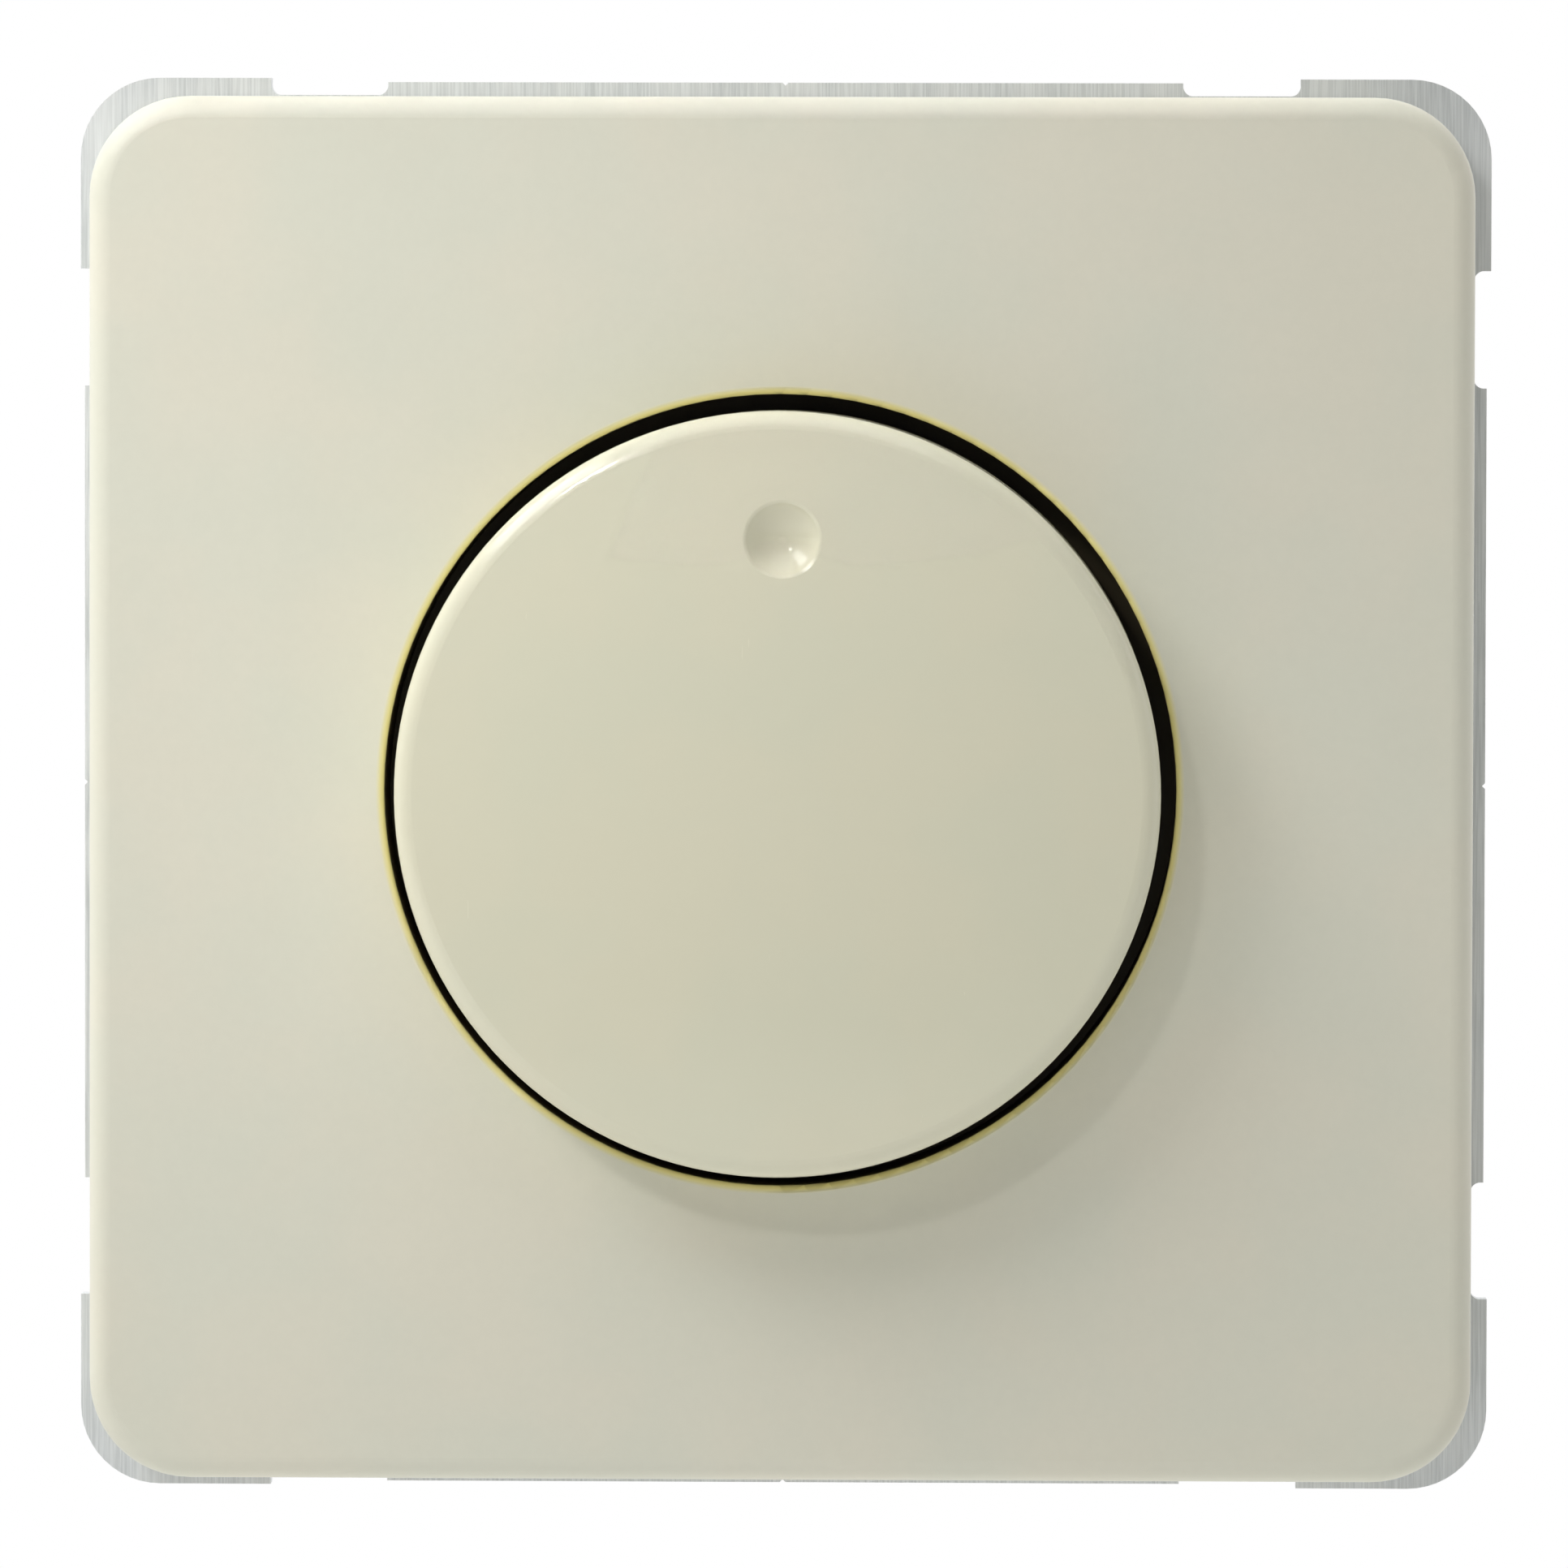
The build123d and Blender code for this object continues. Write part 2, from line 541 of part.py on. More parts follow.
def triac_leads():
    height = POT_FRONT - SHEET_THICK - 2.7
    leads = []
    for index in (-1, 0, 1):
        x = TRIAC_X + index * TRIAC_LEAD_PITCH
        lead = slab(x - 0.4, x + 0.4, 3.2, 5.7, height - 0.25, height + 0.25)
        leads.append(lead + slab(x - 0.25, x + 0.25, 3.2, 3.7, BOARD_BACK - 0.8, height + 0.25))
    return group(leads)


def triac_screw():
    head_front = POT_FRONT - SHEET_THICK - 1.3
    return rod(TRIAC_X, TRIAC_HOLE_Y, head_front, SPREADER_FRONT, 1.45) + rod(
        TRIAC_X, TRIAC_HOLE_Y, head_front - 2.0, head_front, 2.6
    )


def lead_places():
    """Every round lead that passes through the board, as x, y and hole radius."""
    places = [(index * POT_PIN_PITCH, POT_PIN_Y, POT_PIN_R + 0.1) for index in (-1, 0, 1)]
    places += [(TRIAC_X + index * TRIAC_LEAD_PITCH, 3.45, 0.5) for index in (-1, 0, 1)]
    places += [(FILM_CAP_X + side * FILM_CAP_PITCH / 2, FILM_CAP_Y, LEAD_R + 0.1) for side in (-1, 1)]
    half_pitch = SMOOTHING_PITCH / 2
    places += [(SMOOTHING_X + side * half_pitch, SMOOTHING_Y, LEAD_R + 0.1) for side in (-1, 1)]
    places += [(x, RESISTOR_Y + side * 4.4, LEAD_R + 0.1) for x in RESISTOR_XS for side in (-1, 1)]
    places += [(DIAC_X, DIAC_Y + side * 3.2, LEAD_R + 0.1) for side in (-1, 1)]
    places += [(CHOKE_X + side * (CHOKE_OUT + WIRE_R), CHOKE_Y, WIRE_R + 0.1) for side in (-1, 1)]
    places += [(x, y, LEAD_R + 0.1) for x, y in trimmer_pins()]
    return places


def trimmer_pins():
    low = TRIMMER_Y - 1.0
    high = TRIMMER_Y + 2.0
    return [(TRIMMER_X - 2.5, low), (TRIMMER_X + 2.5, low), (TRIMMER_X, high)]


def circuit_board():
    body = tile(INSERT_WIDTH, INSERT_HEIGHT, INSERT_CORNER, BOARD_BACK, BOARD_FRONT)
    body -= rod(0, 0, BOARD_BACK - MOUTH, BOARD_FRONT + MOUTH, BOARD_HOLE_R)
    for x, y in POSTS:
        body -= rod(x, y, BOARD_BACK - MOUTH, BOARD_FRONT + MOUTH, POST_NECK_R + 0.15)
    for x, y, radius in lead_places():
        body -= rod(x, y, BOARD_BACK - MOUTH, BOARD_FRONT + MOUTH, radius)
    leg = SWITCH_HALF + CONTACT_LEG / 2
    for side in (-1, 1):
        slot = slab(-0.3, 0.3, -1.3, 1.3, BOARD_BACK - MOUTH, BOARD_FRONT + MOUTH)
        body -= Pos(side * leg, 0, 0) * slot
    for index in (-1, 0, 1):
        middle = (BAR_BOTTOM + BAR_TOP) / 2
        slot = slab(-0.9, 0.9, middle - 0.5, middle + 0.5, BOARD_BACK - MOUTH, BOARD_FRONT + MOUTH)
        body -= Pos(index * POLE_PITCH, 0, 0) * slot
    return body


def choke_core():
    ring = rod(CHOKE_X, CHOKE_Y, CHOKE_BACK, CHOKE_FRONT, CHOKE_OUT)
    ring -= rod(CHOKE_X, CHOKE_Y, CHOKE_BACK - MOUTH, CHOKE_FRONT + MOUTH, CHOKE_IN)
    return fillet(ring.edges().filter_by(GeomType.CIRCLE), 0.5)


def choke_winding():
    inner = CHOKE_IN - WIRE_R - LOOSE
    outer = CHOKE_OUT + WIRE_R + LOOSE
    back = CHOKE_BACK - WIRE_R - LOOSE
    front = CHOKE_FRONT + WIRE_R + LOOSE
    loop = Plane.XZ * RectangleRounded(outer - inner, front - back, 0.8)
    loop = Pos((inner + outer) / 2, 0, (back + front) / 2) * loop
    path = loop.face().outer_wire()
    start = Plane(origin=path @ 0, z_dir=path % 0)
    turn = sweep(start * Circle(WIRE_R), path)
    wires = [turned(turn, index * 360 / CHOKE_TURNS) for index in range(CHOKE_TURNS)]
    for side in (-1, 1):
        wires.append(rod(side * (CHOKE_OUT + WIRE_R), 0, front + WIRE_R, LEAD_FRONT, WIRE_R))
    return group([Pos(CHOKE_X, CHOKE_Y, 0) * wire for wire in wires])


def film_capacitor():
    front = BOARD_BACK - STANDOFF
    body = Pos(FILM_CAP_X, FILM_CAP_Y, front - FILM_CAP_TALL / 2) * Box(
        FILM_CAP_WIDE, FILM_CAP_DEEP, FILM_CAP_TALL
    )
    body = fillet(body.edges().filter_by(Axis.Z), 0.5)
    for side in (-1, 1):
        x = FILM_CAP_X + side * FILM_CAP_PITCH / 2
        body += rod(x, FILM_CAP_Y, BOARD_BACK - MOUTH, LEAD_FRONT, LEAD_R)
    return body


def smoothing_capacitor():
    can = rod(SMOOTHING_X, SMOOTHING_Y, SMOOTHING_BACK, BOARD_BACK - STANDOFF, SMOOTHING_R)
    can = fillet(can.edges().filter_by(GeomType.CIRCLE), 0.4)
    for side in (-1, 1):
        x = SMOOTHING_X + side * SMOOTHING_PITCH / 2
        can += rod(x, SMOOTHING_Y, BOARD_BACK - MOUTH, LEAD_FRONT, LEAD_R)
    return can


def resistors():
    return group([axial_component(x, RESISTOR_Y, RESISTOR_Z, 1.1, 6.2, 4.4) for x in RESISTOR_XS])


def diac():
    return axial_component(DIAC_X, DIAC_Y, BOARD_BACK - 1.2, 0.95, 3.8, 3.2)


def trimmer_body():
    half = TRIMMER_SIDE / 2
    body = slab(
        TRIMMER_X - half, TRIMMER_X + half, TRIMMER_Y - half, TRIMMER_Y + half, BOARD_FRONT, TRIMMER_FRONT
    )
    body = fillet(body.edges().filter_by(Axis.Z), 0.4)
    recess_r = TRIMMER_ROTOR_R + RUNNING
    body -= rod(TRIMMER_X, TRIMMER_Y, TRIMMER_ROTOR_BACK - RUNNING, TRIMMER_FRONT + MOUTH, recess_r)
    for x, y in trimmer_pins():
        body += rod(x, y, BOARD_BACK - 0.6, BOARD_FRONT + 0.5, LEAD_R)
    return body


def trimmer_rotor():
    body = rod(TRIMMER_X, TRIMMER_Y, TRIMMER_ROTOR_BACK, TRIMMER_ROTOR_FRONT, TRIMMER_ROTOR_R)
    return body - cross_recess(TRIMMER_X, TRIMMER_Y, TRIMMER_ROTOR_FRONT, 1.6, 0.6)


def fuse_glass():
    half = FUSE_LENGTH / 2 - FUSE_CAP
    tube = rod_y(FUSE_X, FUSE_Z, FUSE_Y - half, FUSE_Y + half, FUSE_R - 0.1)
    return tube - rod_y(FUSE_X, FUSE_Z, FUSE_Y - half - MOUTH, FUSE_Y + half + MOUTH, FUSE_R - 0.6)


def fuse_wire():
    half = FUSE_LENGTH / 2 - FUSE_CAP
    return rod_y(FUSE_X, FUSE_Z, FUSE_Y - half, FUSE_Y + half, 0.12)


def fuse_caps():
    caps = []
    for side in (-1, 1):
        inner = FUSE_Y + side * (FUSE_LENGTH / 2 - FUSE_CAP)
        outer = FUSE_Y + side * FUSE_LENGTH / 2
        cap = rod_y(FUSE_X, FUSE_Z, inner, outer, FUSE_R)
        tip = [e for e in cap.edges().filter_by(GeomType.CIRCLE) if abs(e.center().Y - outer) < 0.01]
        caps.append(fillet(tip, 0.4))
    return group(caps)


def fuse_clips():
    inner = FUSE_R + LOOSE
    outer = inner + 0.4
    clips = []
    for side in (-1, 1):
        middle = FUSE_Y + side * (FUSE_LENGTH / 2 - FUSE_CAP / 2)
        low, high = middle - 1.7, middle + 1.7
        clip = slab(FUSE_X - outer, FUSE_X + outer, low, high, FUSE_Z - 1.2, BOARD_BACK)
        clip -= slab(
            FUSE_X - inner, FUSE_X + inner, low - MOUTH, high + MOUTH, FUSE_Z - 2.2, BOARD_BACK - 0.5
        )
        clips.append(clip)
    return group(clips)


def switch_housing():
    half = SWITCH_HALF
    inner = half - SWITCH_WALL
    body = slab(-half, half, -half, half, SWITCH_FLOOR, SWITCH_FRONT)
    body -= slab(-inner, inner, -inner, inner, SWITCH_FLOOR - MOUTH, SWITCH_ROOF)
    body -= rod(0, 0, SWITCH_ROOF - MOUTH, SWITCH_FRONT + MOUTH, PLUNGER_R + RUNNING)
    for side in (-1, 1):
        near, far = sorted((side * (inner - 0.5), side * (half + MOUTH)))
        body -= slab(near, far, -BRIDGE_HALF_Y, BRIDGE_HALF_Y, CONTACT_BACK, CONTACT_FRONT)
        for end in (-1, 1):
            body += rod(side * 4.9, end * 4.9, SWITCH_FRONT, BOARD_BACK, 0.8)
    return body


def switch_base():
    half = SWITCH_HALF
    body = slab(-half, half, -half, half, SWITCH_BACK, SWITCH_FLOOR)
    return body - rod(0, 0, SWITCH_FLOOR - 0.3, SWITCH_FLOOR + MOUTH, SPRING_R + 0.3)


def switch_plunger():
    body = rod(0, 0, SWITCH_ROOF - 0.05, PLUNGER_FRONT, PLUNGER_R)
    body += rod(0, 0, PLUNGER_BACK, SWITCH_ROOF - RUNNING, PLUNGER_FLANGE_R)
    return body + rod(0, 0, PLUNGER_BACK - 1.2, PLUNGER_BACK, SPIGOT_R)


def contact_bridge():
    back = PLUNGER_BACK - BRIDGE_THICK
    plate = slab(-BRIDGE_HALF_X, BRIDGE_HALF_X, -BRIDGE_HALF_Y, BRIDGE_HALF_Y, back, PLUNGER_BACK)
    return plate - rod(0, 0, back - MOUTH, PLUNGER_BACK + MOUTH, SPIGOT_R)


def fixed_contacts():
    contacts = []
    for side in (-1, 1):
        near, far = sorted((side * CONTACT_IN, side * (SWITCH_HALF + CONTACT_LEG)))
        pad = slab(near, far, -BRIDGE_HALF_Y, BRIDGE_HALF_Y, CONTACT_BACK, CONTACT_FRONT)
        near, far = sorted((side * SWITCH_HALF, side * (SWITCH_HALF + CONTACT_LEG)))
        contacts.append(pad + slab(near, far, -BRIDGE_HALF_Y, BRIDGE_HALF_Y, CONTACT_BACK, BOARD_FRONT))
    return group(contacts)


def switch_spring():
    back = SWITCH_FLOOR - 0.3 + SPRING_WIRE_R
    front = PLUNGER_BACK - BRIDGE_THICK - SPRING_WIRE_R
    height = front - back
    path = Pos(0, 0, back) * Helix(height / SPRING_TURNS, height, SPRING_R)
    start = Plane(origin=path @ 0, z_dir=path % 0)
    return sweep(start * Circle(SPRING_WIRE_R), path)


def pole_places():
    return [index * POLE_PITCH for index in (-1, 0, 1)]


def terminal_block():
    body = slab(-BLOCK_HALF, BLOCK_HALF, BLOCK_BOTTOM, BLOCK_TOP, BASE_BACK, BLOCK_FRONT)
    bar_back = CHAMBER_FRONT - MERGE
    for x in pole_places():
        body -= slab(
            x - CHAMBER_HALF, x + CHAMBER_HALF, CHAMBER_BOTTOM, CHAMBER_TOP, CHAMBER_BACK, CHAMBER_FRONT
        )
        body -= slab(
            x - ENTRY_HALF, x + ENTRY_HALF, ENTRY_BOTTOM, ENTRY_TOP, BASE_BACK - MOUTH, CHAMBER_BACK + 0.5
        )
        body -= rod_y(x, TERMINAL_Z, BLOCK_BOTTOM - MOUTH, TERMINAL_HEAD_TOP + 0.1, TERMINAL_HEAD_R + 0.2)
        body -= rod_y(x, TERMINAL_Z, BLOCK_BOTTOM, CHAMBER_BOTTOM + 0.5, TERMINAL_SCREW_R + 0.15)
        body -= slab(x - BAR_HALF, x + BAR_HALF, BAR_BOTTOM, BAR_TOP, bar_back, BLOCK_FRONT + MOUTH)
    return body


def terminal_clamp(x):
    body = slab(x - CLAMP_HALF, x + CLAMP_HALF, CLAMP_BOTTOM, CLAMP_TOP, CLAMP_BACK, CLAMP_FRONT)
    inner = CLAMP_HALF - CLAMP_SIDE
    low = CLAMP_BOTTOM + CLAMP_PLATE
    high = CLAMP_TOP - CLAMP_PLATE
    body -= slab(x - inner, x + inner, low, high, CLAMP_BACK - MOUTH, CLAMP_FRONT + MOUTH)
    return body - rod_y(x, TERMINAL_Z, CLAMP_BOTTOM - MOUTH, BAR_BOTTOM, TERMINAL_SCREW_R + RUNNING)


def terminal_screw(x):
    face = BLOCK_BOTTOM + 0.1
    body = rod_y(x, TERMINAL_Z, face, TERMINAL_HEAD_TOP, TERMINAL_HEAD_R)
    body += rod_y(x, TERMINAL_Z, TERMINAL_HEAD_TOP, TERMINAL_SCREW_END, TERMINAL_SCREW_R)
    return body - Pos(x, face, TERMINAL_Z) * Rot(90, 0, 0) * cross_recess(0, 0, 0, 1.5, 0.6)


def terminal_bars():
    bars = []
    for x in pole_places():
        middle = (BAR_BOTTOM + BAR_TOP) / 2
        bar = slab(x - BAR_HALF, x + BAR_HALF, BAR_BOTTOM, BAR_TOP, CLAMP_BACK, BOARD_BACK - 0.3)
        leg = slab(x - 0.8, x + 0.8, middle - 0.4, middle + 0.4, BOARD_BACK - MOUTH, BOARD_FRONT)
        bars.append(bar + leg)
    return group(bars)


def claw_piece():
    """Right-hand claw: a knuckle, a lug around the screw and a forked arm with two teeth."""
    x, z = CLAW_X, CLAW_Z
    half_sheet = CLAW_SHEET / 2
    body = rod_y(x, z, -CLAW_HALF, CLAW_HALF, KNUCKLE_R)
    lug = slab(x, x + LUG_LENGTH, -CLAW_HALF, CLAW_HALF, z - half_sheet, z + half_sheet)
    lug -= slab(
        x + LUG_SLOT_IN, x + LUG_SLOT_OUT, -LUG_SLOT_HALF, LUG_SLOT_HALF, z - CLAW_SHEET, z + CLAW_SHEET
    )
    body += lug
    end = z - ARM_LENGTH
    for side in (-1, 1):
        low, high = sorted((side * FORK_HALF, side * CLAW_HALF))
        body += slab(x - 0.8, x + 0.4, low, high, end, z)
        tooth = Pos(0, low, 0) * extrude(
            Plane.XZ
            * make_face(
                Polyline(
                    (x - 0.8, end),
                    (x + TOOTH_OUT, end),
                    (x + 0.4, end + 1.6),
                    (x - 0.8, end + 1.6),
                    close=True,
                )
            ),
            -(high - low),
        )
        body += tooth
    return body - rod_y(x, z, -CLAW_HALF - MOUTH, CLAW_HALF + MOUTH, CLAW_PIN_R + RUNNING)


def claw_nut_piece():
    """Right-hand barrel nut that pushes the lug forward as the screw turns."""
    z = CLAW_Z - CLAW_SHEET / 2 - NUT_BARREL_GAP - NUT_BARREL_R
    body = rod_y(CLAW_SCREW_X, z, -NUT_BARREL_HALF, NUT_BARREL_HALF, NUT_BARREL_R)
    return body - rod(CLAW_SCREW_X, 0, CLAW_SCREW_END, 0, CLAW_SCREW_R + RUNNING)


def claw_screw_piece():
    body = rod(CLAW_SCREW_X, 0, FRAME_THICK, CLAW_HEAD_FRONT, CLAW_HEAD_R)
    body = fillet([e for e in body.edges().filter_by(GeomType.CIRCLE) if e.center().Z > 2], 0.5)
    body += rod(CLAW_SCREW_X, 0, CLAW_SCREW_END, FRAME_THICK, CLAW_SCREW_R)
    return body - cross_recess(CLAW_SCREW_X, 0, CLAW_HEAD_FRONT, 1.8, 0.9)


def claw_pins():
    pins = []
    reach = EAR_Y + FRAME_THICK
    for side in (-1, 1):
        pin = rod_y(side * CLAW_X, CLAW_Z, -reach, reach, CLAW_PIN_R)
        pin += rod_y(side * CLAW_X, CLAW_Z, reach, reach + 0.5, CLAW_PIN_R + 0.5)
        pins.append(pin + rod_y(side * CLAW_X, CLAW_Z, -reach - 0.5, -reach, CLAW_PIN_R + 0.5))
    return group(pins)


def housing_base():
    body = tile(BASE_WIDTH, BASE_HEIGHT, BASE_CORNER, BASE_BACK, 0)
    body = fillet(body.faces().sort_by(Axis.Z)[0].edges(), BASE_REAR_ROUND)
    body -= tile(BASE_INNER_WIDTH, BASE_INNER_HEIGHT, BASE_CORNER - BASE_WALL, BASE_FLOOR, MOUTH)
    for x, y in POSTS:
        body += rod(x, y, BASE_FLOOR - 0.5, BOARD_BACK, POST_R)
        body += rod(x, y, BOARD_BACK, POT_FRONT, POST_NECK_R)
        if x == 0:
            body += slab(-1, 1, y, BASE_INNER_HEIGHT / 2 + 0.5, BASE_FLOOR - 0.5, BOARD_BACK)
        else:
            near, far = sorted((x, (BASE_INNER_WIDTH / 2 + 0.5) * x / abs(x)))
            body += slab(near, far, y - 1, y + 1, BASE_FLOOR - 0.5, BOARD_BACK)
        body -= rod(x, y, HOUSING_SCREW_END - 0.5, 0, HOUSING_SCREW_R + LOOSE)
    recess_front = BASE_BACK + LABEL_DEPTH
    body -= Pos(0, LABEL_Y, 0) * tile(LABEL_WIDTH, LABEL_HEIGHT, LABEL_CORNER, BASE_BACK - MOUTH, recess_front)
    gauge = tile(GAUGE_LENGTH, GAUGE_WIDTH, GAUGE_WIDTH / 2 - LOOSE, BASE_BACK - MOUTH, recess_front)
    body -= Pos(0, GAUGE_Y, 0) * gauge
    for side in (-1, 1):
        body -= rod(side * EJECTOR_X, EJECTOR_Y, BASE_BACK - MOUTH, recess_front, EJECTOR_R)
        key_x = side * EJECTOR_X
        half_key = KEY_SLOT_WIDTH / 2
        body -= slab(key_x - half_key, key_x + half_key, GAUGE_Y - KEY_SLOT_HEIGHT, GAUGE_Y,
                     BASE_BACK - MOUTH, recess_front)
    side = BLOCK_HALF + LOOSE
    top = BLOCK_TOP + LOOSE
    return body - slab(-side, side, BLOCK_BOTTOM - MOUTH, top, BASE_BACK - MOUTH, BLOCK_FRONT + LOOSE)


def housing_cover():
    plug_width, plug_height = OPENING_WIDTH - 0.2, OPENING_HEIGHT - 0.2
    plug_corner = OPENING_CORNER - 0.1
    hollow_width = plug_width - 2 * BASE_WALL
    hollow_height = plug_height - 2 * BASE_WALL
    hollow_corner = plug_corner - BASE_WALL
    lip_width = OPENING_WIDTH + 2 * COVER_LIP_MARGIN
    lip_height = OPENING_HEIGHT + 2 * COVER_LIP_MARGIN
    lip_corner = OPENING_CORNER + COVER_LIP_MARGIN
    body = tile(plug_width, plug_height, plug_corner, COVER_WALL_BACK, FRAME_THICK)
    body -= tile(hollow_width, hollow_height, hollow_corner, COVER_WALL_BACK - MOUTH, COVER_SKIN_BACK)
    body += tile(lip_width, lip_height, lip_corner, FRAME_THICK, COVER_FRONT)
    for x, y in POSTS:
        body += rod(x, y, SPREADER_FRONT, COVER_SKIN_BACK + 0.3, POST_R - 0.1)
        body -= rod(x, y, SPREADER_FRONT - MOUTH, COVER_FRONT, HOUSING_SCREW_R + 0.15)
        body -= rod(x, y, HOUSING_HEAD_BACK, COVER_FRONT + MOUTH, HOUSING_HEAD_R + 0.1)
    body -= rod(TRIMMER_X, TRIMMER_Y, COVER_WALL_BACK - MOUTH, COVER_FRONT + MOUTH, 1.75)
    return body - rod(0, 0, COVER_WALL_BACK - MOUTH, COVER_FRONT + MOUTH, BUSHING_R + 0.1)


def housing_screws():
    screws = []
    for x, y in POSTS:
        screw = rod(x, y, HOUSING_HEAD_BACK, HOUSING_HEAD_FRONT, HOUSING_HEAD_R)
        screw += rod(x, y, HOUSING_SCREW_END, HOUSING_HEAD_BACK, HOUSING_SCREW_R)
        screws.append(screw - cross_recess(x, y, HOUSING_HEAD_FRONT, 1.4, 0.7))
    return group(screws)


pieces = {
    "support_frame": support_frame(),
    "centre_plate": centre_plate(),
    "plate_washer": plate_washer(),
    "plate_nut": plate_nut(),
    "knob": knob(),
    "knob_clamp_ring": knob_clamp_ring(),
    "shaft": shaft(),
    "shaft_circlip": shaft_circlip(),
    "pot_body": pot_body(),
    "pot_bushing": pot_bushing(),
    "pot_rotor": pot_rotor(),
    "pot_wiper": pot_wiper(),
    "pot_wafer": pot_wafer(),
    "resistive_track": resistive_track(),
    "pot_pins": pot_pins(),
    "heat_spreader": heat_spreader(),
    "insulating_sheet": insulating_sheet(),
    "triac_tab": triac_tab(),
    "triac_body": triac_body(),
    "triac_leads": triac_leads(),
    "triac_screw": triac_screw(),
    "circuit_board": circuit_board(),
    "choke_core": choke_core(),
    "choke_winding": choke_winding(),
    "film_capacitor": film_capacitor(),
    "smoothing_capacitor": smoothing_capacitor(),
    "resistors": resistors(),
    "diac": diac(),
    "trimmer_body": trimmer_body(),
    "trimmer_rotor": trimmer_rotor(),
    "fuse_glass": fuse_glass(),
    "fuse_wire": fuse_wire(),
    "fuse_caps": fuse_caps(),
    "fuse_clips": fuse_clips(),
    "switch_housing": switch_housing(),
    "switch_base": switch_base(),
    "switch_plunger": switch_plunger(),
    "contact_bridge": contact_bridge(),
    "fixed_contacts": fixed_contacts(),
    "switch_spring": switch_spring(),
    "terminal_block": terminal_block(),
    "terminal_bars": terminal_bars(),
    "claw_right": claw_piece(),
    "claw_left": turned(claw_piece(), 180),
    "claw_nut_right": claw_nut_piece(),
    "claw_nut_left": turned(claw_nut_piece(), 180),
    "claw_screw_right": claw_screw_piece(),
    "claw_screw_left": turned(claw_screw_piece(), 180),
    "claw_pins": claw_pins(),
    "housing_base": housing_base(),
    "housing_cover": housing_cover(),
    "housing_screws": housing_screws(),
}
for number, place in enumerate(pole_places(), start=1):
    pieces[f"terminal_clamp_{number}"] = terminal_clamp(place)
    pieces[f"terminal_screw_{number}"] = terminal_screw(place)

for name, piece in pieces.items():
    export_step(Rot(90, 0, 0) * piece, f"parts/{name}.step")
print(len(pieces), "pieces written")
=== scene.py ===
import bpy
import json
from math import cos, pi, radians, sin
from mathutils import Matrix, Vector


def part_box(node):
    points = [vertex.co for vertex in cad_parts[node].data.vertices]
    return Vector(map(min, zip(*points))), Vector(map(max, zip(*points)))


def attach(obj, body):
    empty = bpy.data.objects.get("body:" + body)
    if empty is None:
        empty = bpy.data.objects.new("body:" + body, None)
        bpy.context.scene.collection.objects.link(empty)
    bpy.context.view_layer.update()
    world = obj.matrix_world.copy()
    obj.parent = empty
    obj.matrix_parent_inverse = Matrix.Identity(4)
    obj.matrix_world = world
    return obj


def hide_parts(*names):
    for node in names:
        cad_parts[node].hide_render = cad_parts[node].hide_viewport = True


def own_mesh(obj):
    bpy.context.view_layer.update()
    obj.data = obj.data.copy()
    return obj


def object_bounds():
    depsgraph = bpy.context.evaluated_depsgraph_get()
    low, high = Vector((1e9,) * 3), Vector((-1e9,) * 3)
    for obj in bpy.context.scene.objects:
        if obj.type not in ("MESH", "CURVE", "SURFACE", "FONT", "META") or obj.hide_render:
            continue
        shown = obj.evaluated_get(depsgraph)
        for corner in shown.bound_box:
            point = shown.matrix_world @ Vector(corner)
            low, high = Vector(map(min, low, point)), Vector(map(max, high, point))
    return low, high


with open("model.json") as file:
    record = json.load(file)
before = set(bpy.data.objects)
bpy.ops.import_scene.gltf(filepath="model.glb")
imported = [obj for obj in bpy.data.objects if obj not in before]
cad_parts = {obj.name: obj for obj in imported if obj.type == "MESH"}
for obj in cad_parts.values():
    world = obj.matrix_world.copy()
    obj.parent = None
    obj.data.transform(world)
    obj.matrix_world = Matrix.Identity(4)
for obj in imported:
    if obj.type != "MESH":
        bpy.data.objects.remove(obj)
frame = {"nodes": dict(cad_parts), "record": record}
cad_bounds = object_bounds()

MM = 0.001
MICRON = 0.000001

# The front faces -Y and +Z is up. The knob turns about the Y axis through the origin. FRAME_FACE is the
# front of the metal support frame, PLATE_FACE the front of the plate, and the well is the plate's round
# opening for the knob.
FRAME_FACE = -1.2 * MM
PLATE_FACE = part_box("centre_plate")[0].y
WELL_RADIUS = 19.7 * MM

# Return spring of the push switch: the wire's radius, its coils, the rings of points along the wire, and the
# points in each ring
SPRING_WIRE = 0.15 * MM
SPRING_TURNS = 5
SPRING_RINGS = 160
SPRING_SIDES = 10

# Camera: how far it stands to the right of the axis and above it, and what it sees across at FRAME_FACE
CAMERA_DISTANCE = 600 * MM
CAMERA_RIGHT = radians(1.4)
CAMERA_UP = radians(2.2)
CAMERA_ROLL = radians(0.12)
CAMERA_NEAREST = 10 * MM
CAMERA_FARTHEST = 10.0
PICTURE_WIDTH = 79.05 * MM
SENSOR = 36.0

# Lights: around is the direction from the plate's middle, in degrees anticlockwise from the right, and
# off_axis its degrees off the axis. Then come the distance, the width round the axis and the height along
# the way to it in metres, the power in watts, the spread in degrees, and the spot on the plate that it
# points at in millimetres.
LIGHTS = {
    "key": {"around": 131.5, "off_axis": 72, "distance": 0.60, "width": 0.21, "height": 0.56,
            "power": 2.1},
    "beam": {"around": 125, "off_axis": 35, "distance": 0.70, "width": 0.06, "height": 0.06,
             "power": 0.0085, "spread": 14, "aim_right": -45, "aim_up": 35},
    "top_panel": {"around": 90, "off_axis": 62, "distance": 0.60, "width": 0.50, "height": 0.50,
                  "power": 1.0},
}

